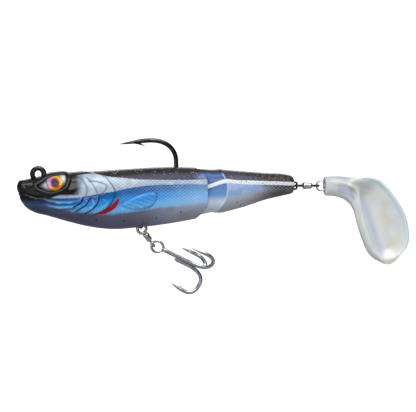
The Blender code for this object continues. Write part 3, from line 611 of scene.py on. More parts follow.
def front_relief(x, z):
    """How far the sculpted skin stands out from the plain body."""
    inside_eye = depth_inside(x, z, EYE_OUTLINE)
    relief = -1.5 * ramp(inside_eye, -0.25, 0.7)
    relief += 0.5 * bump(inside_eye, -0.95, 0.9)
    relief += 0.6 * bump(np.hypot((x - 11.6) * 0.8, z + 7.6), 0, 2.2) * ramp(inside_eye, -0.3, -1.2)
    for (hole_x, hole_z), size in NOSTRILS:
        relief -= 0.6 * bump(np.hypot(x - hole_x, z - hole_z), 0, size)
    relief -= 0.6 * near_line(x, z, MOUTH_LINE, 0.45)
    relief += 0.3 * near_line(x, z, LIP_RIM, 0.9)
    for slit in GILL_SLITS:
        relief -= 0.6 * near_line(x, z, slit, 0.35)
        relief += 0.85 * plate_edge(x, z, slit, 2.0)
    for line in COVER_LINES:
        relief -= 0.28 * near_line(x, z, line, 0.3)
    for fold in JAW_FOLDS:
        relief += 0.5 * near_line(x, z, fold, 0.6)
    cover = [(12.0, 1.2), *COVER_EDGE, (12.0, -19.0)]
    relief += 0.55 * ramp(depth_inside(x, z, cover), -0.15, 0.55) * ramp(x, 14, 24) * ramp(z, -19.5, -15.5)
    fin = depth_inside(x, z, FIN_OUTLINE)
    rays = np.sin((z + 0.34 * (x - 36)) * 3.6) * 0.09
    relief += (0.5 + rays) * ramp(fin, -0.05, 0.9)
    relief -= 0.15 * bump(fin, -0.3, 0.25)
    behind = ramp(x, 33, 36) * ramp(z, -19.0, -15.0) * (1 - ramp(fin, -0.6, 0.0))
    relief += 0.10 * scale_relief(x, z) * behind * on_flank(x, z)
    return relief


def front_paint(x, z):
    """The airbrushed paint of the front skin, with painted shade and highlights laid in, and the strength of
    its net, glitter and foil.
    """
    band_top, band_bottom = smooth_line(BAND_TOP, x), smooth_line(BAND_BOTTOM, x)
    jag = 0.7 * np.abs(((x - z * 0.5) / 2.1) % 1 - 0.5)
    blue_bottom = smooth_line(BLUE_BOTTOM, x) + jag + 0.3 * noise(x, z, 9, 3)
    below = ramp((band_bottom - z) / np.maximum(band_bottom - blue_bottom, 0.5), 0.0, 1.0)
    rearward = ramp(x, 50, 77)

    blue = blended((14, 92, 160), (34, 146, 228), ramp(below, 0.05, 0.45))
    blue = mix(blue, colour(112, 194, 248), ramp(below, 0.55, 1.0) * 0.85)
    blue = mix(blue, colour(160, 208, 250), rearward * (0.3 + 0.6 * below))
    belly = layered(
        blended((98, 102, 124), (166, 174, 198), ramp(x, 38, 70)),
        ((164, 158, 154), rearward * ramp(z, -14.0, -19.0) * 0.7),
        # darker violet along the bottom of the belly: painted shade
        ((96, 98, 134), ramp(z, -20.5, -24.0) * 0.7),
        ((112, 98, 92), ramp(noise(x, z, 11, 9), 0.1, 0.9) * 0.35),
    )
    paint = mix(belly, blue, ramp(z - blue_bottom, -1.4, 0.5))

    jaw = ramp(x, 13.0, 0.0)
    jaw_colour = blended((56, 62, 102), (14, 44, 68), ramp(z, -15.5, -11.5))
    jaw_colour = mix(jaw_colour, colour(6, 14, 26), bump(np.hypot((x + 1.5) * 0.6, z + 11.6), 0, 1.5) * 0.8)
    paint = mix(paint, jaw_colour, jaw * ramp(z, -9.0, -10.5) * 0.88)
    for fold in JAW_FOLDS:
        inner = ramp(x, 2.0, 7.0) * ramp(x, 17.5, 14.0)
        # Under each fold a dark line is painted shade, and a broken pale line along its crest is a painted
        # highlight.
        crease = near_line(x, z + 0.8, fold, 0.42) * inner
        paint = mix(paint, colour(6, 28, 52), crease * 0.6)
        glint = near_line(x, z, fold, 0.26) * inner * ramp(noise(x, z, 5.0, 13), -0.4, 0.6)
        paint = mix(paint, colour(150, 204, 232), glint * 0.7)
    paint = mix(paint, colour(74, 74, 100), ramp(z, -16.5, -18.5) * ramp(x, 34, 16) * 0.75)

    silver = blended((172, 188, 206), (196, 210, 224), ramp(noise(x, z, 6, 5), -0.5, 0.8))
    in_band = ramp(z - band_bottom, -0.12, 0.12)
    paint = mix(paint, silver, in_band)
    back = blended((22, 19, 22), (46, 37, 32), ramp(noise(x, z, 5, 7), -0.6, 0.9))
    back = mix(back, colour(14, 28, 76), ramp(z - band_top, 4.0, 0.6) * ramp(x, 34, 52) * 0.9)
    back = mix(back, colour(112, 128, 176), ramp(x, 68, 74) * ramp(z - band_top, 4.2, 1.2) * 0.85)
    on_back = ramp(z - band_top, -0.14, 0.14)
    paint = mix(paint, back, on_back)

    patch_edge = 18.6 + 0.8 * noise(x, z, 8, 11) + 0.5 * noise(x, z, 1.3, 12)
    patch_edge = patch_edge - 0.10 * (z + 5) ** 2 * ramp(z, -5, -8)
    lower_edge = -11.8 + 2.4 * ramp(x, 0.5, 9.0)
    head = ramp(x, patch_edge + 3.0, patch_edge - 3.4) ** 1.5 * ramp(z - lower_edge, -0.5, 0.5)
    head = np.maximum(head, ramp(x, 1.0, -3.0) * ramp(z, -13.0, -9.5))
    paint = mix(paint, colour(3, 3, 4), head)
    # A grey-blue streak under the eye on the black head: painted highlight.
    paint = mix(paint, colour(36, 48, 60), near_line(x, z, CHEEK_HIGHLIGHT, 0.55) * 0.5)

    lines = np.zeros(x.shape)
    for slit in GILL_SLITS:
        lines = np.maximum(lines, near_line(x, z, slit, 0.38))
        shade = plate_edge(x + 1.2, z, slit, 1.5) * (1 - plate_edge(x, z, slit, 3.0))
        paint = mix(paint, colour(10, 52, 110), shade * 0.5)
    for slit in GILL_SLITS:
        # A pale broken rim on each plate beside its slit: painted highlight.
        edge = plate_edge(x, z, slit, 0.5) * (1 - lines)
        paint = mix(paint, colour(176, 208, 240), edge * ramp(noise(x, z, 2, 15), -0.5, 0.5) * 0.6)
    for glint in GILL_GLINTS:
        shine = near_line(x, z, glint, 0.24) * ramp(noise(x, z, 1.8, 19), -0.6, 0.5)
        paint = mix(paint, colour(196, 222, 246), shine * 0.7)
    paint = mix(paint, colour(8, 22, 48), lines * 0.95)
    for line in COVER_LINES:
        paint = mix(paint, colour(62, 76, 92), near_line(x, z, line, 0.22) * 0.75)
    fin = depth_inside(x, z, FIN_OUTLINE)
    paint = layered(
        paint,
        ((34, 46, 84), near_line(x, z, COVER_EDGE, 0.3) * 0.8),
        ((158, 8, 10), ramp(depth_inside(x, z, RED_PATCH), -0.1, 0.15)),
        ((5, 5, 7), near_line(x, z, MOUTH_LINE, 0.4) * 0.9),
        ((86, 156, 226), ramp(fin, 0.0, 1.0) * 0.35),
        ((24, 60, 120), bump(fin, -0.15, 0.25) * ramp(x, 44, 51) * 0.7),
        ((12, 13, 18), ramp(depth_inside(x, z, EYE_OUTLINE), -1.1, -0.7)),
    )
    for spot_x, spot_z, size in BELLY_SPOTS:
        paint = mix(paint, colour(28, 34, 60), ramp(np.hypot(x - spot_x, z - spot_z), size, size * 0.5))

    hatched = ramp(x - (29.6 + 0.45 * (-z)), -0.2, 0.3) * in_band * (1 - on_back)
    below_band = ramp(band_bottom - z, 0.2, 0.8) * ramp(z - blue_bottom, -2.0, 0.5)
    broken = 0.7 + 0.3 * noise(x, z, 7, 17)
    pale = below_band * ramp(x, 33.0, 37.0) * (1 - ramp(fin, -0.3, 0.3)) * broken
    pale = pale * (0.2 + 0.35 * ramp(x, 42, 56))
    glitter = on_back * (1 - head) * 0.9 + 0.12 * (1 - in_band)
    foil = in_band * (1 - on_back) * (1 - head) * 0.08
    return paint, {"dark_net": hatched * 0.5, "pale_net": pale, "glitter": glitter, "foil": foil}


def socket_rings(rim, count=10):
    """Rings from the rear rim of the front skin into its hollow, which is round about the hinge."""
    rings = []
    for share in np.cos(np.linspace(0.15, math.pi / 2, count)):
        ring = rim.copy()
        ring[:, 1] = np.clip(rim[:, 1], -SOCKET_LIP, SOCKET_LIP) * share
        ring[:, 0] = HINGE_X - np.sqrt(SOCKET_RADIUS**2 - ring[:, 1] ** 2)
        rings.append(ring)
    return rings


def front_skin(material):
    """The head and front body, from the nose to the hinge's hollow."""
    rows, columns = ((330, 270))
    nose = NOSE_X + 11.0 * (1 - np.cos(np.linspace(0, math.pi / 2, rows // 6)))
    x = np.concatenate([nose, np.linspace(nose[-1], FRONT_END_X, rows - len(nose) + 1)[1:]])
    rim_y = smooth_line(HALF_WIDTH, FRONT_END_X) * oval_sides(columns)[0]
    wall = HINGE_X - np.sqrt(np.clip(SOCKET_RADIUS**2 - rim_y**2, 0, None))
    notch = np.clip(FRONT_END_X - wall, 0, None)
    x = x[:, None] - notch * np.clip((x - NOTCH_START) / (FRONT_END_X - NOTCH_START), 0, 1)[:, None] ** 2
    points = ovals(x, smooth_line(BACK_LINE, x), smooth_line(BELLY_LINE, x), smooth_line(HALF_WIDTH, x))
    normals = grid_normals(points)
    px, py, pz = np.moveaxis(points, 2, 0)
    steady = ramp(px, NOSE_X, NOSE_X + 1.0)
    slot = ramp(np.abs(py), 1.25, 0.85) * ramp(np.abs(px - BELLY_PIVOT[0]), 3.6, 3.0) * ramp(pz, -20.0, -21.0)
    relief = front_relief(px, pz) * steady - BELLY_SLOT_DEPTH * slot
    moved = points + normals * relief[..., None]
    moved[-1] = points[-1]
    paint, masks = front_paint(px, pz)
    nose_cap = []
    for share in (0.75, 0.45, 0.15):
        ring = shrunk(moved[0], share)
        ring[:, 0] -= 0.12 * (1 - share)
        nose_cap.append(ring)
    socket = socket_rings(moved[-1])
    skin = grid_mesh("painted_front_skin", moved, {"paint": paint, **masks}, nose_cap, socket)
    clothe(skin, material, "front", ["front_skin"])


# --- rear skin -------------------------------------------------------------------------------


def knuckle_share(x, z):
    """The share of the body's width that the knuckle has, up to its ridge."""
    full = smooth_line(HALF_WIDTH, HINGE_X)
    round_front = np.sqrt(np.clip(KNUCKLE_RADIUS**2 - (x - HINGE_X) ** 2, 0, None)) / full
    ridge = smooth_line(RIDGE_LINE, z)
    start = KNUCKLE_RADIUS / full
    taper = start + (1 - start) * np.clip((x - HINGE_X) / (ridge - HINGE_X), 0, 1) ** 1.2
    return np.where(x <= HINGE_X, round_front, taper)


def rear_paint(x, z):
    """The paint of the rear skin and its knuckle, and the strength of its net, glitter and foil."""
    top, bottom = smooth_line(STRIPE_TOP, x), smooth_line(STRIPE_BOTTOM, x)
    ridge = smooth_line(RIDGE_LINE, z)
    behind = ramp(x - ridge, -0.2, 0.25)
    jag = np.abs(((x - z * 0.5) / 2.1) % 1 - 0.5)
    blue_bottom = smooth_line(REAR_BLUE_BOTTOM, x) + jag + 0.8 * noise(x, z, 8, 21)

    side = blended((138, 170, 220), (166, 186, 222), ramp(noise(x, z, 6, 23), -0.6, 0.6))
    side = mix(side, colour(44, 38, 36), ramp(x, 97, 110) * 0.94)
    belly = blended((186, 192, 198), (92, 86, 84), ramp(x, 90, 110))
    paint = mix(belly, side, ramp(z - blue_bottom, -1.6, 1.0))
    back = blended((36, 29, 27), (78, 62, 50), ramp(noise(x, z, 2.2, 25), -0.4, 0.8))
    upper = blended((66, 70, 92), (56, 48, 46), ramp(x, 90, 106))
    body_top = smooth_line(BACK_LINE, x)
    paint = mix(paint, upper, ramp(z - top, -0.1, 0.15))
    paint = mix(paint, back, ramp(z - (body_top - 1.4 - 1.6 * ramp(x, 86, 108)), -1.0, 0.6))
    shade = ramp(bottom - z, 2.2, 0.3) * ramp(x, 97, 108) * ramp(bottom - z, -0.2, 0.2)
    paint = mix(paint, colour(40, 38, 40), shade * 0.75)

    knuckle = layered(
        blended((104, 152, 210), (52, 88, 146), ramp(z, -8.0, -1.0)),
        ((222, 236, 250), ramp(z, -8.5, -13.0)),
        # darker blue on the knuckle's front, where it goes into the socket: painted shade in the gap
        ((46, 88, 170), ramp(x, 78.6, 76.2) * ramp(z, -12.0, -2.0) * 0.8),
        ((50, 44, 42), ramp(z, 0.2, 1.2)),
    )
    paint = mix(knuckle, paint, behind)
    paint = mix(paint, colour(206, 222, 244), bump(x - ridge, 0.0, 0.28) * ramp(z, 1.0, -0.5) * 0.7)
    stripe = ramp(z - bottom, -0.12, 0.12) * ramp(top - z, -0.12, 0.12)
    paint = mix(paint, colour(238, 243, 247), stripe)
    under_stripe = bump(z - bottom, -0.5, 0.35) * (1 - behind) * ramp(x, 80, 77)
    paint = mix(paint, colour(70, 58, 50), under_stripe * 0.7)
    random = np.random.RandomState(4)
    for _ in range(REAR_SPOTS):
        spot_x, spot_z = 86 + 30 * random.rand(), -15 + 16 * random.rand()
        size = 0.22 + 0.25 * random.rand()
        spot = ramp(np.hypot(x - spot_x, z - spot_z), size, size * 0.5)
        paint = mix(paint, colour(30, 26, 30), spot * 0.85)
    net = stripe * behind
    pale = behind * (1 - stripe) * ramp(z - blue_bottom, -3.0, 0.0) * 0.4 * ramp(bottom - z, 0.0, 0.5)
    return paint, {"dark_net": net * 0.3, "pale_net": pale, "glitter": behind * 0.35, "foil": stripe * 0.05}


def rear_skin(material):
    """The rear body, from its knuckle in the hinge to the rear end."""
    rows, columns = ((230, 230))
    front = HINGE_X - KNUCKLE_RADIUS * np.cos(np.linspace(0.02, math.pi / 2, rows // 6))
    end = REAR_END_X - 1.2 * (1 - np.sin(np.linspace(0, math.pi / 2, 8)))
    middle = np.linspace(HINGE_X, end[0], rows - len(front) - len(end) + 2)[1:-1]
    x = np.concatenate([front, middle, end])
    beyond = ramp(x, HINGE_X, HINGE_X + 6.0)
    top = smooth_line(BACK_LINE, x) - KNUCKLE_DROP * (1 - beyond)
    bottom = smooth_line(BELLY_LINE, x) + KNUCKLE_LIFT * (1 - beyond)
    width = smooth_line(HALF_WIDTH, x)
    rounding = 1 - 0.22 * (np.clip(x - end[0], 0, None) / 1.2) ** 2.5
    grid = np.repeat(x[:, None], columns, axis=1)
    points = ovals(grid, top[:, None], bottom[:, None], width[:, None])
    centre = np.array([0.0, -4.7])
    points[..., 1:] = centre + (points[..., 1:] - centre) * rounding[:, None, None]
    points[..., 1] *= knuckle_share(points[..., 0], points[..., 2])
    normals = grid_normals(points)
    px, pz = points[..., 0], points[..., 2]
    behind = ramp(px - smooth_line(RIDGE_LINE, pz), 0.0, 1.5) * ramp(px, REAR_END_X - 0.5, REAR_END_X - 2.5)
    relief = 0.12 * scale_relief(px, pz) * behind * on_flank(px, pz)
    relief += 0.16 * bump(px - smooth_line(RIDGE_LINE, pz), 0.3, 0.6)
    moved = points + normals * relief[..., None]
    paint, masks = rear_paint(px, pz)
    end_cap = []
    for share in (0.8, 0.5, 0.2):
        ring = moved[-1].copy()
        ring[:, 1:] = centre + (ring[:, 1:] - centre) * share
        end_cap.append(ring)
    skin = grid_mesh("painted_rear_skin", moved, {"paint": paint, **masks}, end_cap=end_cap)
    clothe(skin, material, "rear", ["rear_skin"])


# --- eyes ------------------------------------------------------------------------------------


def fish_eye(name, side, material, nodes):
    """An almond of eyeball between the lids: silver white, orange iris and dark pupil."""
    outline = smooth_outline(EYE_OUTLINE, per_side=12)
    centre = np.array(IRIS_CENTRE)
    shares = np.linspace(0.0, 1.0, EYE_ROWS + 1)[1:][::-1]
    flat = centre + (outline - centre)[None] * (shares[:, None, None] * 1.05)
    x, z = flat[..., 0], flat[..., 1]
    radius = np.hypot(x - centre[0], z - centre[1])
    rim = ramp(depth_inside(x, z, EYE_OUTLINE), -0.3, 1.6)
    out = flank_y(x, z) - 0.75 + 1.15 * rim + 0.85 * np.sqrt(np.clip(1 - (radius / 8.2) ** 2, 0, 1)) - 0.35
    points = np.stack([x, side * out, z], axis=2)
    angle = np.arctan2(z - centre[1], x - centre[0])

    white = blended((164, 172, 188), (214, 222, 230), ramp(x, 2.0, 9.0))
    white = mix(white, colour(60, 58, 70), ramp(x, 2.4, -0.6))
    shade = ramp(depth_inside(x, z, EYE_OUTLINE), 1.3, 0.0)
    white = mix(white, colour(24, 24, 32), shade * 0.85)
    iris = blended((250, 186, 30), (244, 104, 16), ramp(radius, 3.3, 2.0))
    iris = mix(iris, colour(196, 30, 20), ramp(radius, 2.45, 1.8))
    upper_left = ramp(np.cos(angle - math.radians(160)), 0.1, 0.95)
    iris = mix(iris, colour(170, 122, 206), upper_left * 0.85)
    streaks = np.sin(angle * 34) * 0.5 + np.sin(angle * 53 + 1) * 0.5
    iris = mix(iris, colour(255, 214, 90), ramp(streaks, 0.1, 1.0) * 0.35 * ramp(radius, 1.9, 2.6))
    iris = mix(iris, colour(60, 18, 62), ramp(radius, IRIS_RADIUS - 0.55, IRIS_RADIUS - 0.1))
    paint = mix(white, iris, ramp(radius, IRIS_RADIUS + 0.1, IRIS_RADIUS - 0.1))
    paint = mix(paint, colour(26, 26, 32), ramp(radius, PUPIL_RADIUS + 0.15, PUPIL_RADIUS - 0.1))
    foil = ramp(radius, IRIS_RADIUS, IRIS_RADIUS - 0.2) * ramp(radius, PUPIL_RADIUS, PUPIL_RADIUS + 0.2) * 0.2
    if side < 0:
        points, paint, foil = points[:, ::-1], paint[:, ::-1], foil[:, ::-1]
    clothe(grid_mesh(name, points, {"paint": paint, "foil": foil}), material, "front", nodes)


# --- tail ------------------------------------------------------------------------------------


def edge_points(edge, shares):
    """Places at equal steps of the shares along one edge of the tail."""
    places = np.linspace(0, 1, len(edge))
    return np.stack([smooth_line(list(zip(places, column)), shares) for column in np.array(edge).T], axis=-1)


def tail_paddle(material):
    """The stem and cupped paddle, from rings that run between the two edges."""
    rows, half = ((220, 90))
    stem_rows = rows // 6
    beyond = np.linspace(0.12, 1.0, rows - stem_rows + 1)[1:]
    shares = np.concatenate([np.linspace(0, 0.12, stem_rows), beyond])
    inner, outer = edge_points(INNER_EDGE, shares), edge_points(OUTER_EDGE, shares)
    blade = ramp(shares, 0.22, 0.55)
    thickness = STEM_HALF_THICKNESS + (PADDLE_HALF_THICKNESS - STEM_HALF_THICKNESS) * blade
    thickness *= np.minimum(1.0, 0.86 + 4.0 * shares)
    past = np.clip((shares - TIP_START) / (1 - TIP_START), 0, 1)
    thickness *= np.sqrt(1 - 0.9 * past**2)
    thickness = np.minimum(thickness, 0.34 * np.linalg.norm(outer - inner, axis=1))
    angles = np.linspace(0, math.pi, half + 1)
    turns = np.concatenate([angles[:-1], angles[:0:-1]])
    side = np.concatenate([-np.ones(half), np.ones(half)])
    across = ((1 - np.cos(turns)) / 2)[None]
    power = (2 + 2.5 * blade)[:, None]
    rounding = np.clip(1 - np.abs(2 * across - 1) ** power, 0, 1) ** (1 / power)
    ridge = smooth_line(RIDGE_PLACE, shares)[:, None]
    strength = (blade * ramp(shares, 1.03, 0.84))[:, None]
    hollow = 0.5 * np.sin(math.pi * np.clip(across, 0, 1)) ** 2
    spine = 1 + strength * (0.9 * bump(across, ridge, 0.09) - hollow)
    cup = PADDLE_CUP * strength * np.sin(math.pi * across) ** 2
    near = side[None] < 0
    dish = ramp(across, ridge - 0.02, ridge + 0.13) * ramp(across, 1.0, 0.88) * near
    fold = 0.5 * strength * ramp(shares, 0.35, 0.5)[:, None] * ramp(shares, 1.0, 0.75)[:, None]
    valley = fold * bump(across, ridge + 0.2, 0.08) * near
    rim = -0.35 * strength * bump(across, 0.94, 0.05) * near
    place = inner[:, None] + (outer - inner)[:, None] * across[..., None]
    y = side[None] * thickness[:, None] * rounding * spine + cup + valley + rim + DISH_DEPTH * strength * dish
    points = np.stack([place[..., 0], y, place[..., 1]], axis=2)

    x, z = points[..., 0], points[..., 2]
    paint = blended((226, 230, 225), (216, 223, 223), ramp(noise(x, z, 14, 31), -0.6, 0.8))
    # Darker grey on the top of the stem: painted shade.
    paint = mix(paint, colour(172, 178, 182), ramp(z, -7.0, -2.0) * ramp(x, 148, 140))
    # Blue-violet along the paddle's valley: painted reflection.
    paint = mix(paint, colour(184, 194, 226), np.clip(valley / 0.5, 0, 1) * 0.7)
    warm = bump(across, 0.62, 0.2) * strength * ramp(shares, 0.45, 0.6)[:, None]
    paint = mix(paint, colour(214, 211, 190), warm * ramp(noise(x, z, 9, 33), -0.9, 0.6) * 0.7)
    # A pale cyan line along the rim: painted highlight.
    paint = mix(paint, colour(202, 226, 236), bump(across, 0.93, 0.05) * strength * 0.7)
    shown = depth_inside(x, z, STEM_INSERT)
    paint = mix(paint, colour(178, 182, 208), ramp(shown, -0.5, 0.7) * 0.8)
    crease = bump(z - (-4.4 - 0.42 * np.clip(x - 138.5, 0, 9)), 0, 0.8)
    paint = mix(paint, colour(190, 184, 168), crease * ramp(x, 132.5, 136) * ramp(x, 146.5, 143.5) * 0.75)

    chord = outer[-1] - inner[-1]
    down = np.array((chord[1], 0.0, -chord[0])) / np.linalg.norm(chord)
    end_cap = []
    for share in np.linspace(0.94, 0.06, 12):
        end_cap.append(shrunk(points[-1], share) + down * TIP_BULGE * (1 - share**2))
    start_cap = []
    for share, depth in RECESS_RINGS:
        ring = shrunk(points[0], share)
        ring[:, 0] += depth
        start_cap.append(ring)
    tail = grid_mesh("pearl_tail_paddle", points, {"paint": paint}, start_cap, end_cap)
    tail.data.set_sharp_from_angle(angle=math.radians(50))
    clothe(tail, material, "tail", ["tail_paddle"])


# --- wire and swivels ------------------------------------------------------------------------


def below(angle):
    """A direction in the middle plane, the angle below the tail's direction."""
    return np.array((math.cos(math.radians(angle)), 0.0, -math.sin(math.radians(angle))))


def bezier(start, out, into, end, steps):
    a, b, c, d = (np.array(point, float) for point in (start, out, into, end))
    shares = np.linspace(0, 1, steps + 1)
    return [(1 - t) ** 3 * a + 3 * t * (1 - t) ** 2 * b + 3 * t * t * (1 - t) * c + t**3 * d for t in shares]


def arc(centre, radius, first, last, steps):
    turns = np.radians(np.linspace(first, last, steps + 1))
    return [np.array((centre[0] + radius * math.cos(a), centre[1] + radius * math.sin(a))) for a in turns]


def upright(points):
    return [np.array((x, 0.0, z)) for x, z in points]


def unit(vector):
    return vector / np.linalg.norm(vector)


def square_to(vector):
    """Two unit directions square to a vector and to each other."""
    helper = np.eye(3)[np.argmin(np.abs(vector))]
    first = unit(np.cross(vector, helper))
    return first, np.cross(unit(vector), first)


def circle(centre, first, second, radius, sides):
    turns = 2 * math.pi * np.arange(sides) / sides
    return centre + radius * (np.cos(turns)[:, None] * first + np.sin(turns)[:, None] * second)


def joined(rings, closed=False):
    """(points, faces) of a skin over rings of equally many points."""
    sides = len(rings[0])
    index = np.arange(len(rings) * sides).reshape(-1, sides)
    pairs = list(zip(index, index[1:]))
    if closed:
        pairs.append((index[-1], index[0]))
    faces = []
    for before, after in pairs:
        faces += np.stack([before, np.roll(before, -1), np.roll(after, -1), after], axis=1).tolist()
    if not closed:
        faces += [index[0].tolist()[::-1], index[-1].tolist()]
    return np.concatenate(rings), faces


def wire(path, radius, closed=False, sides=18, per_step=4):
    """A round wire along a smoothed path; the radius is one value or one for each point."""
    radii = np.broadcast_to(radius, len(path))
    line = smooth_outline(np.column_stack([np.array(path, float), radii]), closed, per_step)
    points, radii = line[:, :3], line[:, 3]
    ways = np.gradient(points, axis=0)
    if closed:
        ways = np.roll(points, -1, axis=0) - np.roll(points, 1, axis=0)
    normal = None
    rings = []
    for point, way, size in zip(points, ways, radii):
        way = unit(way)
        normal = square_to(way)[0] if normal is None else unit(normal - way * normal.dot(way))
        rings.append(circle(point, normal, np.cross(way, normal), size, sides))
    return joined(rings, closed)


def wire_ring(centre, radius, thickness, normal):
    first, second = square_to(np.array(normal, float))
    return wire(circle(np.array(centre, float), first, second, radius, 24), thickness, closed=True)


def turned(profile, origin, axis, steps=40, closed=False):
    """A turned solid from (distance along the axis, radius) points."""
    axis = unit(np.array(axis, float))
    first, second = square_to(axis)
    origin = np.array(origin)
    rings = [circle(origin + axis * along, first, second, radius, steps) for along, radius in profile]
    return joined(rings, closed)


def metal_piece(name, solids, material, body, cad_node):
    """One mesh from several closed solids, in place of a CAD node."""
    points, faces = [], []
    for solid_points, solid_faces in solids:
        start = sum(len(p) for p in points)
        points.append(solid_points)
        faces += [[i + start for i in face] for face in solid_faces]
    mesh = bpy.data.meshes.new(name)
    mesh.from_pydata((np.concatenate(points) * MM).tolist(), [], faces)
    mesh.shade_smooth()
    mesh.set_sharp_from_angle(angle=math.radians(38))
    clothe(placed(name, mesh), material, body, [cad_node])


def main_hook(material):
    """A jig hook whose wire is wrapped almost twice round to make the line-tie ring."""
    path = []
    for degrees in np.linspace(-420, 205, 52):
        side = -LINE_TIE_PITCH * ramp(-degrees, 40, 300)
        angle = math.radians(degrees)
        path.append((LINE_TIE_RADIUS * math.cos(angle), side, LINE_TIE_RADIUS * math.sin(angle)))
    leave = arc((0, 0), LINE_TIE_RADIUS, 210, 210, 1)[0]
    path += upright(bezier(leave, (0.75, -6.5), (1.6, -9.5), (6.0, -9.5), 8))
    path += upright([(18.0, -9.5), (37.0, -9.5), (56.5, -9.5)])
    path += upright(bezier((56.5, -9.5), (60.5, -9.5), (62.7, -6.5), (62.7, -2.5), 6)[1:])
    bend = bezier((62.7, 5.5), (62.7, 11.4), (58.2, 15.0), HOOK_TOP, 10)
    bend += bezier(HOOK_TOP, (46.5, 15.0), (41.0, 13.7), HOOK_POINT, 10)[1:]
    path += upright(bend)
    sizes = []
    for point in path:
        share = np.clip((point[0] - HOOK_POINT[0]) / 10.0, 0, 1) if point[2] > 12 else 1.0
        sizes.append(0.1 + (HOOK_WIRE - 0.1) * share**0.8)
    barb = wire([(43.6, 0, 14.2), (46.0, 0, 13.5), (48.8, 0, 12.4)], [0.75, 0.45, 0.08], sides=10)
    metal_piece("jig_hook", [wire(path, sizes), barb], material, "front", "main_hook")


def treble_point(along, out, turn):
    """A point beside the treble's shank; the turn is about the shank, and 0 is straight down."""
    turn = math.radians(turn)
    pivot = np.array(BELLY_PIVOT) + below(BELLY_ANGLE) * (LOWER_EYE_CENTRE + LOWER_EYE_RADIUS)
    outward = below(TREBLE_ANGLE + 90) * math.cos(turn) + np.array((0.0, 1.0, 0.0)) * math.sin(turn)
    return pivot + below(TREBLE_ANGLE) * along + outward * out


def treble(material):
    """One wire makes two hooks and the eye; the third hook is brazed under the shank."""
    bundle, eye = 0.95, 1.2
    profile = [np.array((16.0, bundle))]
    profile += bezier((17.6, bundle), (22.8, 1.0), (26.0, 2.6), (26.0, 6.4), 7)
    profile += bezier((26.0, 6.4), (26.0, 10.0), (24.0, 12.2), (20.8, 12.1), 6)[1:]
    profile += bezier((20.8, 12.1), (18.0, 12.0), (16.0, 11.7), (13.4, 11.3), 6)[1:]
    sizes = []
    for along, out in profile:
        share = 1.0 if out < 11 or along > 19.0 else (along - 13.4) / (19.0 - 13.4)
        sizes.append(0.08 + (TREBLE_WIRE - 0.08) * share**0.8)
    loop = bezier((4.9, 0), (3.9, 0.3), (3.3, TREBLE_EYE), (eye, TREBLE_EYE), 6)
    loop += arc((eye, 0), TREBLE_EYE, 90, 270, 14)[1:-1]
    loop += bezier((eye, -TREBLE_EYE), (3.3, -TREBLE_EYE), (3.9, -0.3), (4.9, 0), 6)[:-1]
    leg = treble_point(0, bundle, 120) - treble_point(0, 0, 0)
    eye_path = []
    for i, (along, out) in enumerate(loop):
        shift = leg * (1.0, 1 - 2 * (i + 1) / (len(loop) + 1), 1.0)
        eye_path.append(treble_point(along, out, 0) + shift)
    first = [treble_point(along, out, 120) for along, out in profile]
    second = [treble_point(along, out, -120) for along, out in profile]
    path = [*reversed(first), treble_point(5.6, bundle, 120), *eye_path]
    path += [treble_point(5.6, bundle, -120), *second]
    radii = [*reversed(sizes), TREBLE_WIRE, *([TREBLE_EYE_WIRE] * len(eye_path)), TREBLE_WIRE, *sizes]
    barbs = []
    for turn in (120, -120, 0):
        ends = [treble_point(along, out, turn) for along, out in ((16.6, 11.75), (18.0, 11.3), (19.4, 10.7))]
        barbs.append(wire(ends, [0.5, 0.3, 0.05], sides=10))
    pair = [wire(path, radii), *barbs[:2]]
    metal_piece("treble_pair", pair, material, "treble", "treble_double_hook")
    third_profile = [(11.0, bundle * 0.8), (12.0, bundle), *profile]
    third = [treble_point(along, out, 0) for along, out in third_profile]
    single = [wire(third, [TREBLE_WIRE * 0.6, TREBLE_WIRE, *sizes]), barbs[2]]
    metal_piece("treble_single", single, material, "treble", "treble_third_hook")


def swivel_eye(name, body, centre, axis, radius, thickness, reach, normal, material, cad_node):
    """A wire ring with a stem that ends in a head inside the barrel; the reach is signed."""
    start = math.copysign(radius, reach)
    head = reach - math.copysign(0.5, reach)
    stem = turned([(start, 0.62), (head, 0.5), (head, 0.6), (reach, 0.6)], centre, axis)
    ring = wire_ring(centre, radius, thickness, normal)
    metal_piece(name, [ring, stem], material, body, cad_node)


def barrel(name, body, origin, axis, span, wide, narrow, bore, material, cad_node):
    """A waisted barrel with rolled ends and a turned groove."""
    start, end = span
    middle = (start + end) / 2
    profile = [
        (start + 0.3, bore), (start, bore + 0.1), (start, wide * 0.7), (start + 0.2, wide * 0.88),
        (start + 0.5, wide), (start + 1.2, wide), (middle - 0.35, wide * 0.97),
        (middle - 0.25, wide * 0.84), (middle + 0.1, wide * 0.84), (middle + 0.2, narrow),
        (end - 0.6, narrow), (end - 0.2, narrow * 0.85), (end, narrow * 0.65), (end, bore + 0.1),
        (end - 0.3, bore), (end - 0.4, narrow - 0.3), (start + 0.4, narrow - 0.3),
    ]
    metal_piece(name, [turned(profile, origin, axis, closed=True)], material, body, cad_node)


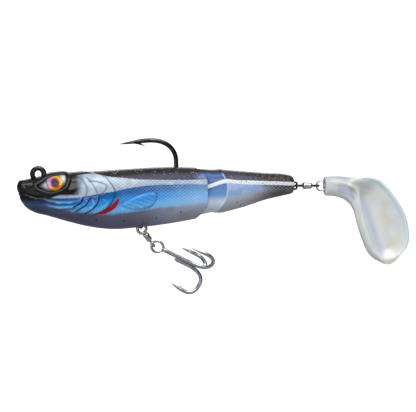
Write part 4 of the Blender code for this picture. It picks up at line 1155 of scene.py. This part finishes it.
def swivels(material, dark_material):
    """The barrel swivels of the belly and the tail, each with two ringed eyes."""
    along = below(BELLY_ANGLE)
    pivot = np.array(BELLY_PIVOT)
    across = np.array((0.0, 1.0, 0.0))
    swivel_eye("belly_eye_upper", "belly_swivel_top", pivot + along * 0.75, along, 2.0, 0.68, 4.05, across,
               material, "belly_swivel_upper_eye")
    barrel("belly_barrel", "belly_swivel_middle", pivot, along, (3.3, 7.2), 1.45, 1.35, 0.5,
           material, "belly_swivel_barrel")
    swivel_eye("belly_eye_lower", "belly_swivel_bottom", pivot + along * LOWER_EYE_CENTRE, along,
               LOWER_EYE_RADIUS, 0.48, -3.3, below(BELLY_ANGLE - 90), material, "belly_swivel_lower_eye")

    along = np.array((1.0, 0.0, 0.0))
    swivel_eye("tail_eye_front", "tail_swivel_front", (118.55, 0, TAIL_Z), along, 1.35, 0.55, 3.85,
               (0, 0, 1), dark_material, "tail_swivel_front_eye")
    barrel("tail_barrel", "tail_swivel_middle", (0, 0, TAIL_Z), along, (120.9, 125.2), 1.6, 1.4, 0.55,
           material, "tail_swivel_barrel")
    swivel_eye("tail_eye_rear", "tail_swivel_rear", (126.85, 0, TAIL_Z), along, 1.35, 0.55, -3.25,
               (0, 0, 1), dark_material, "tail_swivel_rear_eye")


def split_ring(material):
    """Two turns of flat-set wire, side by side."""
    path = []
    for turns in SPLIT_RING_TURNS * (np.linspace(0, 1, 60) - 0.5):
        angle = 2 * math.pi * turns
        x, z = SPLIT_RING_RADIUS * math.cos(angle), SPLIT_RING_RADIUS * math.sin(angle)
        path.append((SPLIT_RING_X + x, SPLIT_RING_PITCH * turns, TAIL_Z + z))
    coil = [wire(path, SPLIT_RING_WIRE)]
    metal_piece("split_ring_coil", coil, material, "split_ring", "tail_split_ring")


def hangers(material):
    """The wire loops out of the belly and out of the rear end."""
    loop = []
    for centre, first in (((1.2, -15.9), 0), ((-1.2, -15.9), 90), ((-1.2, -22.7), 180), ((1.2, -22.7), 270)):
        loop += arc(centre, 0.9, first, first + 90, 4)
    staple = wire([(BELLY_PIVOT[0], y, z) for y, z in loop], 0.58, closed=True)
    metal_piece("belly_loop", [staple], material, "front", "belly_hanger")
    path = [(106.0, -3.5), (112.0, -3.5), (116.2, -3.5), *arc((117.5, -4.2), 0.7, 90, 0, 5)]
    path += [*arc((117.5, -5.8), 0.7, 0, -90, 5), (116.2, -6.5), (112.0, -6.5), (106.0, -6.5)]
    metal_piece("rear_loop", [wire(upright(path), 0.45)], material, "rear", "tail_hanger")


# --- stage -----------------------------------------------------------------------------------


def sweep_material():
    """Nearly white to the camera, but a soft grey to the light it throws back on the lure."""
    material, tree, seen = new_material("pale_sweep")
    plug(tree, seen, {
        "Base Color": (0.9, 0.9, 0.9, 1.0), "Roughness": 0.9,
        "Emission Color": (1.0, 1.0, 1.0, 1.0), "Emission Strength": SWEEP_GLOW,
    })
    thrown = node(tree, "ShaderNodeBsdfDiffuse", {"Color": (0.36, 0.36, 0.38, 1.0)})
    is_camera = node(tree, "ShaderNodeLightPath").outputs["Is Camera Ray"]
    both = node(tree, "ShaderNodeMixShader", {0: is_camera, 1: thrown.outputs[0], 2: seen.outputs[0]})
    tree.links.new(both.outputs[0], tree.nodes["Material Output"].inputs[0])
    return material


def stage():
    """A pale bowl: a flat floor that sweeps up into a round wall."""
    profile = [(0.0, 0.0), (BOWL_FLAT, 0.0)]
    for turn in np.linspace(0.1, math.pi / 2, 12):
        profile.append((BOWL_FLAT + BOWL_CURVE * math.sin(turn), BOWL_CURVE * (1 - math.cos(turn))))
    profile.append((BOWL_FLAT + BOWL_CURVE, BOWL_HEIGHT))
    steps = 96
    vertices, faces = [], []
    for radius, height in profile:
        for k in range(steps):
            angle = 2 * math.pi * k / steps
            x, y = BOWL_X + radius * math.cos(angle), radius * math.sin(angle)
            vertices.append((x, y, FLOOR_Z * MM + height))
    for i in range(len(profile) - 1):
        for k in range(steps):
            j = (k + 1) % steps
            faces.append((i * steps + k, i * steps + j, (i + 1) * steps + j, (i + 1) * steps + k))
    mesh = bpy.data.meshes.new("sweep")
    mesh.from_pydata(vertices, [], faces)
    mesh.shade_smooth()
    mesh.materials.append(sweep_material())
    placed("sweep", mesh)


def area_light(name, place, size, power):
    light = bpy.data.lights.new(name, "AREA")
    light.shape = "RECTANGLE"
    light.size, light.size_y = size
    light.energy = power
    obj = placed(name, light)
    obj.visible_camera = False
    obj.location = place
    obj.rotation_euler = (Vector(LIGHT_TARGET) - Vector(place)).to_track_quat("-Z", "Y").to_euler()


def lighting():
    world = bpy.data.worlds.new("studio")
    world.use_nodes = True
    plug(world.node_tree, world.node_tree.nodes["Background"], {0: (1.0, 1.0, 1.0, 1.0), 1: WORLD_LIGHT})
    bpy.context.scene.world = world
    for light in LIGHTS:
        area_light(*light)


def camera():
    data = bpy.data.cameras.new("camera")
    data.lens = CAMERA_LENS
    data.clip_end = 20.0
    cam = placed("camera", data)
    a, e = math.radians(CAMERA_AZIMUTH), math.radians(CAMERA_ELEVATION)
    back = Vector((math.sin(a) * math.cos(e), -math.cos(a) * math.cos(e), math.sin(e)))
    target = Vector(CAMERA_TARGET) * MM
    cam.location = target + back * CAMERA_DISTANCE * MM
    cam.rotation_euler = (-back).to_track_quat("-Z", "Y").to_euler()
    bpy.context.scene.camera = cam
    bpy.context.scene.view_settings.view_transform = "Standard"


# --- the scene -------------------------------------------------------------------------------

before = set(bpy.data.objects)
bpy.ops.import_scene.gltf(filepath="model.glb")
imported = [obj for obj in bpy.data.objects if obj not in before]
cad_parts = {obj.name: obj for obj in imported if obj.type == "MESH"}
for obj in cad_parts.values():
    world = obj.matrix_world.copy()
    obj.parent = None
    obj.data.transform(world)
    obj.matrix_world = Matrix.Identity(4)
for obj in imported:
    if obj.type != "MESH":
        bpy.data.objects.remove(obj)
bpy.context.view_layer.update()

skin = skin_material("painted_soft_skin")
front_skin(skin)
rear_skin(skin)
eye_print = eye_material()
fish_eye("left_fish_eye", -1, eye_print, ["left_eye_foil", "left_eye_dome"])
fish_eye("right_fish_eye", 1, eye_print, ["right_eye_foil", "right_eye_dome"])
tail_paddle(pearl_material())

black_nickel = metal_material("black_nickel_wire", (0.045, 0.04, 0.04), (0.11, 0.10, 0.095), 0.14, 0.28)
bright_wire = metal_material("bright_tinned_wire", (0.50, 0.52, 0.55), (0.36, 0.38, 0.41), 0.22, 0.32)
swivel_metal = metal_material("nickel_plated_brass", (0.56, 0.57, 0.55), (0.30, 0.29, 0.26), 0.13, 0.26)
main_hook(black_nickel)
hangers(black_nickel)
treble(bright_wire)
swivels(swivel_metal, black_nickel)
split_ring(bright_wire)
dress(["hinge_pin"], bright_wire)
dress(["front_frame", "rear_frame"], plain_material("moulded_nylon", (0.60, 0.57, 0.5), 0.45))
dress(["tail_anchor"], plain_material("pale_nylon", (0.62, 0.66, 0.68), 0.4))
dress(["head_weight"], plain_material("cast_lead", (0.2, 0.2, 0.22), 0.55, 0.8))

stage()
lighting()
camera()
